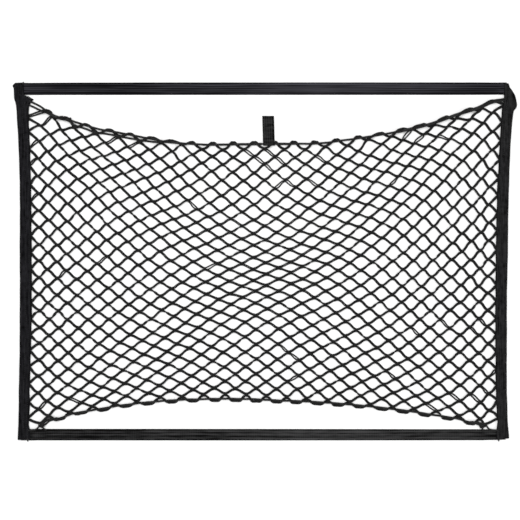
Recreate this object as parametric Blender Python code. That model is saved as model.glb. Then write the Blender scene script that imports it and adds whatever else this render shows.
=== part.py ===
"""Cargo net, laid out flat: two webbings, two folded side bindings, a diamond
mesh panel, an elastic cord along the mesh's top and bottom edges, and a folded
pull tab on the top cord.

Units: the tables and named sizes are in millimetres, the model is in metres.
+X is to the net's right, +Y towards its top webbing, +Z up from the surface.
The origin is the middle of the footprint, at the surface.
"""
import math

import bmesh
import bpy
import numpy as np

for old in list(bpy.data.objects):
    bpy.data.objects.remove(old, do_unlink=True)

MM = 0.001

# ---------------------------------------------------------------- named sizes
TAPE_T = 1.0          # one layer of a side binding
FOLD_GAP = 2.1        # room between the two layers of a side binding
FOLD_H = 2 * TAPE_T + FOLD_GAP
CLEAR = 0.3           # air between pieces that touch
FOLD_Z = TAPE_T + CLEAR   # height at which a piece lies inside a fold
WEBBING_T = 1.5       # top and bottom webbing
NET_T = 1.5           # mesh panel as one even sheet
RAMP = 14.0           # length over which a piece comes down from a fold
TUCK = 6.0            # how far the mesh goes into a fold
CORD_R = 2.0          # edge cords, 4 mm across
CORD_STEP = 12.0      # spacing of the points along a cord
NET_OFF = 2.5         # mesh panel's edge to a cord's centre line
TAB_T = 1.2           # one layer of the pull tab
TAB_EYE = 2.9         # cord centre to the middle of the tab's cloth
TAB_BEND = 4.0        # bend where the tab's upper layer comes down
TAB_TOP = 262.0       # the tab's cut ends
TAB_LEAN = 1.4        # sideways lean of the tab over its length
CENTRE_Y = 1.4        # middle of the footprint, in the tables' own y

# ------------------------------------------------------------------- the data
# side bindings: a row for each change of outline, fold side and open side
BINDING_COLUMNS = ("fold_x", "fold_y", "open_x", "open_y")
LEFT_BINDING = (
    (-449.0, 322.0, -434.1, 322.6),     # top end, cut slightly hollow
    (-453.4, 317.2, -433.4, 316.1),
    (-451.3, 311.6, -433.2, 308.9),
    (-450.8, 302.6, -432.6, 300.6),     # lower edge of the top webbing
    (-450.4, 294.3, -417.0, 292.8),     # corner pulled out by the top cord
    (-448.5, 288.2, -420.3, 287.9),
    (-447.2, 281.7, -423.5, 281.5),
    (-446.1, 270.7, -424.6, 270.2),
    (-444.9, 247.1, -424.5, 247.1),
    (-443.8, 228.8, -422.9, 228.8),
    (-440.4, 129.8, -420.1, 129.8),
    (-440.4, 3.8, -419.0, 3.8),
    (-440.4, -104.2, -419.0, -104.2),
    (-442.0, -230.2, -422.8, -230.2),
    (-442.4, -266.2, -422.7, -264.4),
    (-443.3, -293.2, -424.5, -292.1),
    (-443.8, -302.2, -422.5, -302.9),   # over the bottom webbing
    (-444.2, -319.6, -421.5, -319.9),
)
RIGHT_BINDING = (
    (438.6, 320.8, 430.7, 322.6),       # top end, folded in narrow
    (440.4, 314.8, 430.7, 313.4),
    (444.4, 309.2, 430.7, 307.1),
    (450.5, 298.6, 430.7, 299.0),       # outward bulge below the corner
    (452.3, 290.9, 430.3, 292.7),
    (453.3, 282.8, 427.8, 284.6),
    (452.1, 277.6, 426.7, 278.3),
    (447.4, 271.6, 426.2, 270.2),
    (445.8, 259.4, 425.6, 259.4),
    (443.4, 232.4, 423.4, 228.8),
    (438.8, 129.8, 417.9, 129.8),
    (437.1, 27.2, 415.5, 21.8),
    (435.2, -104.2, 414.5, -104.2),
    (435.2, -230.2, 415.4, -230.2),
    (435.9, -259.0, 416.8, -257.2),
    (437.1, -292.1, 418.6, -287.8),
    (438.4, -304.0, 416.8, -302.2),     # over the bottom webbing
    (439.7, -316.6, 416.6, -319.2),     # cut end, slanted
)

# webbings: a row for each station, its two long edges
WEBBING_COLUMNS = ("x", "outer_y", "inner_y")
TOP_WEBBING = (
    (-444.5, 321.7, 301.3),
    (-425.0, 322.1, 301.1),
    (-380.0, 322.6, 301.2),
    (-200.0, 323.0, 301.3),
    (100.0, 323.1, 301.4),
    (380.0, 323.1, 301.4),
    (434.9, 322.7, 301.8),
)
BOTTOM_WEBBING = (
    (-438.5, -320.2, -300.6),
    (-410.0, -320.5, -300.4),
    (0.0, -320.7, -300.6),
    (390.0, -320.3, -301.1),
    (433.0, -319.0, -300.9),
)

# edge cords: a row for each station on the centre line
CORD_COLUMNS = ("x", "y")
TOP_CORD = (
    (-419.9, 284.2),
    (-411.8, 280.3),
    (-402.8, 275.6),
    (-386.6, 266.8),
    (-377.6, 261.9),
    (-368.6, 259.0),
    (-350.6, 254.3),
    (-341.6, 249.3),
    (-332.6, 246.4),
    (-314.6, 240.3),
    (-305.6, 237.1),
    (-287.6, 233.8),
    (-251.6, 227.3),
    (-201.2, 218.7),
    (-152.6, 213.7),
    (-107.5, 211.1),
    (-44.6, 211.9),
    (45.5, 212.6),
    (95.9, 213.5),
    (144.5, 219.2),
    (198.5, 227.3),
    (252.5, 237.2),
    (297.4, 248.0),
    (315.4, 254.0),
    (351.4, 267.1),
    (387.4, 278.8),
    (405.4, 286.9),
    (427.4, 291.4),
)
BOTTOM_CORD = (
    (-400.6, -296.0),
    (-397.8, -292.2),
    (-393.6, -288.4),
    (-388.0, -283.9),
    (-379.4, -281.9),
    (-364.9, -279.3),
    (-346.9, -273.0),
    (-332.6, -270.1),
    (-296.6, -264.2),
    (-269.6, -259.1),
    (-215.6, -252.5),
    (-152.6, -247.8),
    (-71.5, -245.6),
    (27.4, -248.6),
    (81.5, -250.8),
    (135.5, -254.6),
    (171.5, -257.5),
    (243.5, -265.8),
    (297.4, -273.7),
    (333.4, -279.2),
    (347.9, -281.5),
    (362.2, -286.2),
    (378.4, -288.5),
    (385.5, -290.6),
    (390.0, -294.0),
    (391.6, -297.2),
)
# the mesh panel's lower edge, from inside a side fold to the edge cord
NET_FOOT_COLUMNS = ("x", "y")
NET_FOOT_LEFT = ((-432.0, -281.5), (-420.0, -283.3), (-410.0, -286.0), (-398.5, -286.6), (-392.0, -283.0))
NET_FOOT_RIGHT = ((395.5, -291.0), (404.0, -286.5), (414.0, -282.5), (424.0, -281.0))


def column(table, columns, name):
    """One named column of a table, as an array."""
    k = columns.index(name)
    return np.array([row[k] for row in table], dtype=float)


def smooth_path(table, step):
    """A smooth curve through the stations of a cord, evenly sampled."""
    p = np.stack([column(table, CORD_COLUMNS, "x"), column(table, CORD_COLUMNS, "y")], axis=1)
    t = np.concatenate([[0.0], np.cumsum(np.linalg.norm(np.diff(p, axis=0), axis=1))])
    slope = np.gradient(p, t, axis=0)
    fine = np.linspace(0.0, t[-1], 2000)
    k = np.clip(np.searchsorted(t, fine, side="right") - 1, 0, len(t) - 2)
    h = (t[k + 1] - t[k])
    s = (fine - t[k]) / h
    h = h[:, None]
    s = s[:, None]
    curve = ((2 * s**3 - 3 * s**2 + 1) * p[k] + (s**3 - 2 * s**2 + s) * h * slope[k]
             + (-2 * s**3 + 3 * s**2) * p[k + 1] + (s**3 - s**2) * h * slope[k + 1])
    length = np.concatenate([[0.0], np.cumsum(np.linalg.norm(np.diff(curve, axis=0), axis=1))])
    count = int(round(length[-1] / step)) + 1
    even = np.linspace(0.0, length[-1], count)
    return np.stack([np.interp(even, length, curve[:, 0]), np.interp(even, length, curve[:, 1])], axis=1)


def ease(value):
    """0 below 0, 1 above 1, and a smooth step between."""
    v = np.clip(value, 0.0, 1.0)
    return v * v * (3.0 - 2.0 * v)


def material(name, colour, roughness):
    mat = bpy.data.materials.new(name)
    mat.use_nodes = True
    shader = mat.node_tree.nodes["Principled BSDF"]
    shader.inputs["Base Color"].default_value = (*colour, 1.0)
    shader.inputs["Roughness"].default_value = roughness
    shader.inputs["Metallic"].default_value = 0.0
    return mat


def thick_sheet(name, front, back, mat):
    """A closed sheet between two grids of points, front[i][j] and back[i][j]."""
    centre = np.array([0.0, CENTRE_Y, 0.0])
    front = (np.asarray(front, dtype=float) - centre) * MM
    back = (np.asarray(back, dtype=float) - centre) * MM
    rows, cols = front.shape[:2]
    bm = bmesh.new()
    f = [[bm.verts.new(front[i, j]) for j in range(cols)] for i in range(rows)]
    b = [[bm.verts.new(back[i, j]) for j in range(cols)] for i in range(rows)]
    for i in range(rows - 1):
        for j in range(cols - 1):
            bm.faces.new((f[i][j], f[i + 1][j], f[i + 1][j + 1], f[i][j + 1]))
            bm.faces.new((b[i][j], b[i][j + 1], b[i + 1][j + 1], b[i + 1][j]))
    for i in range(rows - 1):
        bm.faces.new((f[i][0], b[i][0], b[i + 1][0], f[i + 1][0]))
        bm.faces.new((f[i][-1], f[i + 1][-1], b[i + 1][-1], b[i][-1]))
    for j in range(cols - 1):
        bm.faces.new((f[0][j], f[0][j + 1], b[0][j + 1], b[0][j]))
        bm.faces.new((f[-1][j], b[-1][j], b[-1][j + 1], f[-1][j + 1]))
    bmesh.ops.recalc_face_normals(bm, faces=bm.faces)
    bmesh.ops.triangulate(bm, faces=bm.faces)
    mesh = bpy.data.meshes.new(name)
    bm.to_mesh(mesh)
    bm.free()
    obj = bpy.data.objects.new(name, mesh)
    obj.data.materials.append(mat)
    bpy.context.scene.collection.objects.link(obj)
    return obj


# ------------------------------------------------------------------- bindings
# a binding's cross-section: how far each point of the tape lies from the fold
# (share of the width, then millimetres) and its height, outside and inside
SECTION_COLUMNS = ("share", "out_in", "out_z", "in_in", "in_z")
FOLD_SECTION = (
    (1.0, 0.0, 0.0, 0.0, TAPE_T),
    (0.0, 1.3, 0.0, 1.3, TAPE_T),
    (0.0, 0.4, 0.4, 1.05, TAPE_T + 0.08),
    (0.0, 0.0, 1.3, TAPE_T, 1.3),
    (0.0, 0.0, FOLD_H - 1.3, TAPE_T, FOLD_H - 1.3),
    (0.0, 0.4, FOLD_H - 0.4, 1.05, FOLD_H - TAPE_T - 0.08),
    (0.0, 1.3, FOLD_H, 1.3, FOLD_H - TAPE_T),
    (1.0, 0.0, FOLD_H, 0.0, FOLD_H - TAPE_T),
)


def binding(name, table, mat):
    fold_x = column(table, BINDING_COLUMNS, "fold_x")
    fold_y = column(table, BINDING_COLUMNS, "fold_y")
    open_x = column(table, BINDING_COLUMNS, "open_x")
    open_y = column(table, BINDING_COLUMNS, "open_y")
    outside, inside = [], []
    for fx, fy, ox, oy in zip(fold_x, fold_y, open_x, open_y):
        width = math.hypot(ox - fx, oy - fy)
        ux, uy = (ox - fx) / width, (oy - fy) / width
        row_out, row_in = [], []
        for share, out_in, out_z, in_in, in_z in FOLD_SECTION:
            d = share * width + out_in
            row_out.append((fx + ux * d, fy + uy * d, out_z))
            d = share * width + in_in
            row_in.append((fx + ux * d, fy + uy * d, in_z))
        outside.append(row_out)
        inside.append(row_in)
    return thick_sheet(name, outside, inside, mat)


def open_edge(table, y):
    """x of a binding's open edge at the height y."""
    edge_y = column(table, BINDING_COLUMNS, "open_y")
    edge_x = column(table, BINDING_COLUMNS, "open_x")
    return np.interp(y, edge_y[::-1], edge_x[::-1])


def rise(x, y):
    """Height of the underside of a flat piece: level in the middle, lifted
    into the folds of the two side bindings."""
    left = (x - open_edge(LEFT_BINDING, y) - 1.0) / RAMP
    right = (open_edge(RIGHT_BINDING, y) - 1.0 - x) / RAMP
    return FOLD_Z * (1.0 - ease(np.minimum(left, right)))


# ------------------------------------------------------------------- webbings
def webbing(name, table, mat):
    x = column(table, WEBBING_COLUMNS, "x")
    stations = sorted(set(np.concatenate([
        np.linspace(x[0], x[0] + 36.0, 10), np.linspace(x[0] + 36.0, x[-1] - 36.0, 16),
        np.linspace(x[-1] - 36.0, x[-1], 10), x])))
    top, bottom = [], []
    for s in stations:
        outer = np.interp(s, x, column(table, WEBBING_COLUMNS, "outer_y"))
        inner = np.interp(s, x, column(table, WEBBING_COLUMNS, "inner_y"))
        low = rise(s, 0.5 * (outer + inner))
        side = math.copysign(1.0, outer)
        ys = (inner, inner + 0.3 * side, outer - 0.3 * side, outer)
        top.append([(s, ys[0], low + WEBBING_T - 0.3), (s, ys[1], low + WEBBING_T),
                    (s, ys[2], low + WEBBING_T), (s, ys[3], low + WEBBING_T - 0.3)])
        bottom.append([(s, ys[0], low + 0.3), (s, ys[1], low), (s, ys[2], low), (s, ys[3], low + 0.3)])
    return thick_sheet(name, top, bottom, mat)


# ---------------------------------------------------------------------- cords
TAB_X = 6.7           # middle of the tab along the cord
TAB_HALF = 10.5       # half of the tab's width
top_path = smooth_path(TOP_CORD, CORD_STEP)
bottom_path = smooth_path(BOTTOM_CORD, CORD_STEP)


def top_cord_height(x):
    """The top cord lies on the surface, and over the tab's lower layer."""
    away = (np.abs(x - TAB_X) - TAB_HALF - 3.0) / 22.0
    return CORD_R + (TAB_T + CLEAR) * (1.0 - ease(away))


def cord(name, path, heights, mat):
    curve = bpy.data.curves.new(name, "CURVE")
    curve.dimensions = "3D"
    curve.bevel_depth = CORD_R * MM
    curve.bevel_resolution = 2
    curve.use_fill_caps = True
    curve.render_resolution_u = 0
    spline = curve.splines.new("POLY")
    spline.points.add(len(path) - 1)
    for point, (x, y), z in zip(spline.points, path, heights):
        point.co = (x * MM, (y - CENTRE_Y) * MM, z * MM, 1.0)
    spline.use_smooth = True
    obj = bpy.data.objects.new(name, curve)
    curve.materials.append(mat)
    bpy.context.scene.collection.objects.link(obj)
    return obj


# ----------------------------------------------------------------- mesh panel
NET_COLUMNS = 60
NET_ROWS = 12


def net_top(x):
    """Upper edge of the mesh panel: under the top cord, clear of the tab."""
    left = (-440.0, 294.5)      # where the edge would meet the left fold
    right = (440.0, 294.8)
    px = np.concatenate([[left[0]], top_path[:, 0], [right[0]]])
    py = np.concatenate([[left[1]], top_path[:, 1], [right[1]]])
    y = np.interp(x, px, py)
    slope = np.interp(x, 0.5 * (px[1:] + px[:-1]), np.diff(py) / np.diff(px))
    notch = 1.9 * (1.0 - ease((np.abs(x - TAB_X) - 27.0) / 16.0))
    return y - NET_OFF * np.sqrt(1.0 + slope**2) - notch


def net_foot(x):
    """Lower edge of the mesh panel: above the bottom cord, and at each end
    across to the side fold."""
    px, py = bottom_path[:, 0], bottom_path[:, 1]
    slope = np.interp(x, 0.5 * (px[1:] + px[:-1]), np.diff(py) / np.diff(px))
    over = np.interp(x, px, py) + NET_OFF * np.sqrt(1.0 + slope**2)
    over = np.where((x < px[0]) | (x > px[-1]), -400.0, over)
    side_l = np.interp(x, column(NET_FOOT_LEFT, NET_FOOT_COLUMNS, "x"), column(NET_FOOT_LEFT, NET_FOOT_COLUMNS, "y"))
    side_r = np.interp(x, column(NET_FOOT_RIGHT, NET_FOOT_COLUMNS, "x"), column(NET_FOOT_RIGHT, NET_FOOT_COLUMNS, "y"))
    side = np.where(x < 0.0, side_l, side_r)
    return np.maximum(over, side)


def net_panel(name, mat):
    # columns stand closer together at the two sides, where the edges turn
    u = np.linspace(0.0, 1.0, NET_COLUMNS + 1)
    u = u - 0.10 * np.sin(4.0 * math.pi * u) / (2.0 * math.pi) - 0.25 * np.sin(2.0 * math.pi * u) / (2.0 * math.pi)
    v = np.linspace(0.0, 1.0, NET_ROWS + 1)
    uu, vv = np.meshgrid(u, v, indexing="ij")
    x = -430.0 + 855.0 * uu
    for _ in range(12):
        y = net_foot(x) * (1.0 - vv) + net_top(x) * vv
        left = open_edge(LEFT_BINDING, y) - TUCK
        right = open_edge(RIGHT_BINDING, y) + TUCK
        x = left * (1.0 - uu) + right * uu
    y = net_foot(x) * (1.0 - vv) + net_top(x) * vv
    low = rise(x, y)
    top = np.stack([x, y, low + NET_T], axis=-1)
    bottom = np.stack([x, y, low], axis=-1)
    return thick_sheet(name, top, bottom, mat)


# ------------------------------------------------------------------- pull tab
def pull_tab(name, mat):
    """One length of webbing: lower layer, round the cord, upper layer back."""
    cord_y = float(np.interp(TAB_X, top_path[:, 0], top_path[:, 1]))
    cord_z = CORD_R + TAB_T + CLEAR
    drop = cord_z + TAB_EYE - (TAB_T * 1.5 + CLEAR)
    turn = math.acos(1.0 - drop / (TAB_EYE + TAB_BEND))
    path = []           # y, z, and the direction across the cloth
    for y in np.linspace(TAB_TOP, cord_y + 4.0, 5):
        path.append((y, TAB_T / 2, 0.0, -1.0))
    for a in np.linspace(-math.pi / 2, -math.pi / 2 - math.pi - turn, 20):
        path.append((cord_y + TAB_EYE * math.cos(a), cord_z + TAB_EYE * math.sin(a), math.cos(a), math.sin(a)))
    end_y = cord_y + (TAB_EYE + TAB_BEND) * math.sin(turn)
    end_z = TAB_T * 1.5 + CLEAR
    for a in np.linspace(turn, 0.0, 7)[1:]:
        path.append((end_y - TAB_BEND * math.sin(a), end_z + TAB_BEND * (1.0 - math.cos(a)), math.sin(a), math.cos(a)))
    for y in np.linspace(end_y, TAB_TOP - 0.6, 6)[1:]:
        path.append((y, end_z, 0.0, 1.0))
    outside, inside = [], []
    for y, z, ny, nz in path:
        lean = TAB_LEAN * (TAB_TOP - y) / (TAB_TOP - cord_y) - TAB_LEAN / 2
        xs = (TAB_X - TAB_HALF + lean, TAB_X + TAB_HALF + lean)
        outside.append([(x, y + ny * TAB_T / 2, z + nz * TAB_T / 2) for x in xs])
        inside.append([(x, y - ny * TAB_T / 2, z - nz * TAB_T / 2) for x in xs])
    return thick_sheet(name, outside, inside, mat)


# ---------------------------------------------------------------------- build
webbing("top_webbing", TOP_WEBBING, material("black_ribbed_webbing", (0.016, 0.016, 0.018), 0.55))
webbing("bottom_webbing", BOTTOM_WEBBING, material("black_plain_webbing", (0.015, 0.015, 0.015), 0.6))
binding("left_binding", LEFT_BINDING, material("black_binding_tape_left", (0.013, 0.013, 0.013), 0.65))
binding("right_binding", RIGHT_BINDING, material("black_binding_tape_right", (0.013, 0.013, 0.013), 0.65))
net_panel("net_panel", material("black_net_yarn", (0.010, 0.010, 0.010), 0.6))
cord("top_edge_cord", top_path, top_cord_height(top_path[:, 0]), material("black_cord_top", (0.018, 0.018, 0.018), 0.5))
cord("bottom_edge_cord", bottom_path, np.full(len(bottom_path), CORD_R), material("black_cord_bottom", (0.018, 0.018, 0.018), 0.5))
pull_tab("pull_tab", material("black_tab_webbing", (0.016, 0.016, 0.017), 0.55))
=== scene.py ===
"""Looks of the cargo net, laid out flat: knotless diamond mesh of paired yarns,
two edge cords, ribbed webbings, folded and stitched side bindings and a pull
tab.

The tables and named sizes are in millimetres, in the frame of the part, with
the origin at the middle of the footprint once CENTRE_Y is taken off.
"""
import math

import bpy
import numpy as np
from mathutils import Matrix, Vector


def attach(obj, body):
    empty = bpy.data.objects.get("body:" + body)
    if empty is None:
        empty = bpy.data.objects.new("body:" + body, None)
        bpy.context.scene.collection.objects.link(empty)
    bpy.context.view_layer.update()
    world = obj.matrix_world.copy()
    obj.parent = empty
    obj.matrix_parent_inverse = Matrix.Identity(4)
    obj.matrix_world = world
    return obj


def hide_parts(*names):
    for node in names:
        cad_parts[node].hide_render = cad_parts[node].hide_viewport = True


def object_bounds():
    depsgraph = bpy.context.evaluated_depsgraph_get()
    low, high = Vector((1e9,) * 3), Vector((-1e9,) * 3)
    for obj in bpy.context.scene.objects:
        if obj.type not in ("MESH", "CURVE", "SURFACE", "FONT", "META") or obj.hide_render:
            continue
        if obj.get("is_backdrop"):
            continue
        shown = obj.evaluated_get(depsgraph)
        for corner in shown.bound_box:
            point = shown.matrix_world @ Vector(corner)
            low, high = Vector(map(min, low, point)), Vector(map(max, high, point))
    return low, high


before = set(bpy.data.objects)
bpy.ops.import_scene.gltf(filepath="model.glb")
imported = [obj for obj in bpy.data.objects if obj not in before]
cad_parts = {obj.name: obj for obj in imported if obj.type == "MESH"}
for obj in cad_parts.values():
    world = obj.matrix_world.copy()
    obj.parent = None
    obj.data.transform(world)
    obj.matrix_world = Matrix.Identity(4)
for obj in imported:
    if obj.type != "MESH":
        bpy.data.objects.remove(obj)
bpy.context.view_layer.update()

MM = 0.001
CENTRE_Y = 1.4
BODY = "root"

# ---------------------------------------------------------------- named sizes
TAPE_T = 1.0
FOLD_GAP = 2.1
FOLD_H = 2 * TAPE_T + FOLD_GAP
CLEAR = 0.3
FOLD_Z = TAPE_T + CLEAR
WEBBING_T = 1.5
RAMP = 14.0
TAB_T = 1.2
TAB_EYE = 2.5
TAB_BEND = 4.0
TAB_TOP = 263.0
TAB_LEAN = 1.4
TAB_X = 6.7
TAB_HALF = 10.5

YARN_R = 1.16         # one yarn of a mesh leg; a leg is two of them
PAIR = 1.165          # half the spacing of the two yarns where they touch
CORD_R = 1.8          # an edge cord, doubled back on itself at its ends
THREAD_R = 0.33       # sewing thread

# ------------------------------------------------------------------- the data
BINDING_COLUMNS = ("fold_x", "fold_y", "open_x", "open_y")
LEFT_BINDING = (
    (-449.0, 322.0, -434.1, 322.6),
    (-453.4, 317.2, -433.4, 316.1),
    (-451.3, 311.6, -433.2, 308.9),
    (-450.8, 302.6, -432.6, 300.6),
    (-450.4, 294.3, -415.7, 292.8),
    (-448.5, 288.2, -419.4, 287.9),
    (-447.2, 281.7, -423.5, 281.5),
    (-446.1, 270.7, -424.6, 270.2),
    (-444.9, 247.1, -424.5, 247.1),
    (-443.8, 228.8, -422.9, 228.8),
    (-440.4, 129.8, -420.1, 129.8),
    (-440.4, 3.8, -419.0, 3.8),
    (-440.4, -104.2, -419.0, -104.2),
    (-442.0, -230.2, -422.8, -230.2),
    (-442.4, -266.2, -422.7, -264.4),
    (-443.3, -293.2, -424.5, -292.1),
    (-443.8, -302.2, -422.5, -302.9),
    (-444.2, -319.6, -421.5, -319.9),
)
RIGHT_BINDING = (
    (438.6, 320.8, 430.7, 322.6),
    (440.4, 314.8, 430.7, 313.4),
    (444.4, 309.2, 430.7, 307.1),
    (450.5, 298.6, 430.7, 299.0),
    (452.3, 290.9, 430.3, 292.7),
    (453.3, 282.8, 427.8, 284.6),
    (452.1, 277.6, 426.7, 278.3),
    (447.4, 271.6, 426.2, 270.2),
    (445.8, 259.4, 425.6, 259.4),
    (443.4, 232.4, 423.4, 228.8),
    (438.8, 129.8, 417.9, 129.8),
    (437.1, 27.2, 415.5, 21.8),
    (435.2, -104.2, 414.5, -104.2),
    (435.2, -230.2, 415.4, -230.2),
    (435.9, -259.0, 416.8, -257.2),
    (437.1, -292.1, 418.6, -287.8),
    (438.4, -304.0, 416.8, -302.2),
    (439.7, -316.6, 416.6, -319.2),
)
WEBBING_COLUMNS = ("x", "outer_y", "inner_y")
TOP_WEBBING = (
    (-444.5, 321.7, 301.3),
    (-425.0, 322.1, 301.1),
    (-380.0, 322.6, 301.2),
    (-200.0, 323.0, 301.3),
    (100.0, 323.1, 301.4),
    (380.0, 323.1, 301.4),
    (434.9, 322.7, 301.8),
)
BOTTOM_WEBBING = (
    (-438.5, -320.2, -300.6),
    (-410.0, -320.5, -300.4),
    (0.0, -320.7, -300.6),
    (390.0, -320.3, -301.1),
    (433.0, -319.0, -300.9),
)
CORD_COLUMNS = ("x", "y")
TOP_CORD = (
    (-419.9, 284.2), (-411.8, 280.3), (-402.8, 275.6), (-386.6, 266.8), (-377.6, 261.9), (-368.6, 259.0),
    (-350.6, 254.3), (-341.6, 249.3), (-332.6, 246.4), (-314.6, 240.3), (-305.6, 237.1), (-287.6, 233.8),
    (-251.6, 227.3), (-201.2, 218.7), (-152.6, 213.7), (-107.5, 211.1), (-44.6, 211.9), (45.5, 212.6),
    (95.9, 213.5), (144.5, 219.2), (198.5, 227.3), (252.5, 237.2), (297.4, 248.0), (315.4, 254.0),
    (351.4, 267.1), (387.4, 278.8), (405.4, 286.9), (427.4, 291.4),
)
BOTTOM_CORD = (
    (-400.6, -296.0), (-397.8, -292.2), (-393.6, -288.4), (-388.0, -283.9), (-379.4, -281.9), (-364.9, -279.3),
    (-346.9, -273.0), (-332.6, -270.1), (-296.6, -264.2), (-269.6, -259.1), (-215.6, -252.5), (-152.6, -247.8),
    (-71.5, -245.6), (27.4, -248.6), (81.5, -250.8), (135.5, -254.6), (171.5, -257.5), (243.5, -265.8),
    (297.4, -273.7), (333.4, -279.2), (347.9, -281.5), (362.2, -286.2), (378.4, -288.5), (385.5, -290.6),
    (390.0, -294.0), (391.6, -297.2),
)

# the mesh: columns 0 to 44 count half meshes from left to right, rows -17 to 21
# half meshes from the top cord to the bottom one.  Each table has a row for a
# few of the rows and a column for a few of the columns, and smooth curves
# between them place every junction.
MESH_COLUMNS = (0, 2, 6, 11, 16, 22, 28, 34, 39, 42, 44)
MESH_X = (
    (-17, (-422, -379, -300, -206, -113, -1, 109, 227, 324, 387, 426)),
    (-14, (-423, -388, -309, -208, -113, -1, 111, 229, 331, 394, 425)),
    (-9, (-423, -391, -317, -219, -119, 0, 119, 243, 339, 390, 420)),
    (-3, (-421, -389, -320, -227, -126, 1, 129, 250, 338, 389, 417)),
    (3, (-421, -391, -319, -227, -128, 3, 133, 248, 336, 386, 415)),
    (9, (-421, -388, -318, -223, -121, 5, 127, 243, 333, 386, 415)),
    (15, (-424, -391, -315, -215, -113, 4, 120, 237, 332, 386, 416)),
    (19, (-422, -391, -310, -210, -110, 3, 115, 230, 331, 388, 418)),
    (21, (-421, -387, -309, -208, -109, 3, 112, 229, 328, 387, 419)),
)
MESH_Y = (
    (-17, (275.5, 268.5, 242.5, 227.5, 214.5, 217.5, 215.5, 238.5, 262.5, 288.5, 296.5)),
    (-14, (234.5, 229.5, 207.5, 189.5, 177.5, 175.5, 178.5, 201.5, 232.5, 250.5, 251.5)),
    (-9, (155.5, 153.5, 146.5, 125.5, 108.5, 103.5, 114.5, 142.5, 164.5, 166.5, 168.5)),
    (-3, (63.5, 61.5, 56.5, 48.5, 36.5, 29.5, 43.5, 62.5, 66.5, 70.5, 71.5)),
    (3, (-27.5, -28.5, -31.5, -34.5, -35.5, -31.5, -27.5, -28.5, -26.5, -26.5, -25.5)),
    (9, (-116.5, -117.5, -118.5, -115.5, -105.5, -95.5, -104.5, -115.5, -117.5, -116.5, -115.5)),
    (15, (-203.5, -206.5, -202.5, -188.5, -178.5, -174.5, -182.5, -197.5, -206.5, -207.5, -207.5)),
    (19, (-266.5, -263.5, -249.5, -235.5, -227.5, -227.5, -234.5, -247.5, -260.5, -267.5, -263.5)),
    (21, (-295.5, -289.5, -270.5, -261.5, -248.5, -252.5, -260.5, -272.5, -283.5, -297.5, -295.5)),
)
# junctions that are pulled out of the even mesh, and by how much
PULLED_COLUMNS = ("col", "row", "x", "y")
PULLED = (
    (1, -17, 12.0, -6.0),
    (7, -17, 2.0, 0.0),
    (9, -17, 2.5, 0.0),
    (11, -17, 1.5, 0.0),
    (0, -16, 0.0, -1.5),
    (2, -16, 1.5, 5.4),
    (4, -16, 0.0, -1.5),
    (8, -16, 0.0, 3.0),
    (12, -16, 2.0, 2.0),
    (14, -16, 2.0, 4.5),
    (28, -16, 0.0, 4.0),
    (32, -16, -3.0, 2.5),
    (36, -16, -1.0, 3.0),
    (38, -16, -2.5, -1.5),
    (40, -16, -5.5, -3.2),
    (13, -15, 2.7, 2.2),
    (15, -15, 1.4, 2.0),
    (33, -15, 2.7, 3.6),
    (43, -15, 0.0, 2.7),
    (20, -14, 2.5, 0.0),
    (12, 20, 1.5, 3.6),
)
# the two lowest corner meshes, caught in the knots of the bottom cord
KNOTTED_COLUMNS = ("col", "row", "x", "y")
KNOTTED = (
    (1, 21, -403.7, -288.9),
    (43, 21, 395.2, -291.4),
)
# legs whose two yarns stand well apart: the wale, and the column they start at
OPEN_COLUMNS = ("wale", "col", "gap")
OPEN_LEGS = (
    (-17, 0, 1.2), (-16, 7, 1.0), (-16, 20, 1.5), (-15, 21, 1.5), (-16, 22, 0.9), (-15, 23, 1.4), (-16, 35, 1.7), (-15, 36, 1.7),
    (18, 1, 1.3), (18, 4, 1.0), (19, 37, 1.3), (17, 39, 1.5), (17, 41, 1.6),
)
# places where slack yarn is gathered into a thick lump: its middle, its reach
# and how much fuller the yarns are there
BUNCH_COLUMNS = ("x", "y", "reach", "fuller")
BUNCHES = (
    (-303.9, 232.4, 5.5, 1.00),
    (-282.0, 236.4, 4.5, 0.50),
    (-263.3, 225.2, 4.5, 0.55),
    (-224.4, 216.9, 5.0, 0.95),
)
# where a yarn takes one more turn round the top cord
WRAP_COLUMNS = ("x", "wide")
WRAPS = ((-350.9, 2.2),)
LAST = 44             # last column
ROW_TOP, ROW_END = -17, 21


# -------------------------------------------------------------------- helpers
def column(table, columns, name):
    k = columns.index(name)
    return np.array([row[k] for row in table], dtype=float)


def ease(value):
    v = np.clip(value, 0.0, 1.0)
    return v * v * (3.0 - 2.0 * v)


def unit(v):
    v = np.asarray(v, dtype=float)
    return v / np.maximum(np.linalg.norm(v, axis=-1, keepdims=True), 1e-12)


def spline_weights(knots, x):
    """Matrix that takes values at the knots to a natural cubic spline at x."""
    knots = np.asarray(knots, dtype=float)
    x = np.atleast_1d(np.asarray(x, dtype=float))
    n = len(knots)
    h = np.diff(knots)
    a = np.zeros((n, n))
    b = np.zeros((n, n))
    a[0, 0] = a[-1, -1] = 1.0
    for i in range(1, n - 1):
        a[i, i - 1], a[i, i], a[i, i + 1] = h[i - 1], 2.0 * (h[i - 1] + h[i]), h[i]
        b[i, i - 1], b[i, i], b[i, i + 1] = 6.0 / h[i - 1], -6.0 / h[i - 1] - 6.0 / h[i], 6.0 / h[i]
    bend = np.linalg.solve(a, b)
    k = np.clip(np.searchsorted(knots, x, side="right") - 1, 0, n - 2)
    out = np.zeros((len(x), n))
    for row, (i, v) in enumerate(zip(k, x)):
        t1, t0 = v - knots[i], knots[i + 1] - v
        out[row, i] += t0 / h[i]
        out[row, i + 1] += t1 / h[i]
        out[row] += bend[i] * (t0**3 / (6 * h[i]) - h[i] * t0 / 6)
        out[row] += bend[i + 1] * (t1**3 / (6 * h[i]) - h[i] * t1 / 6)
    return out


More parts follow.
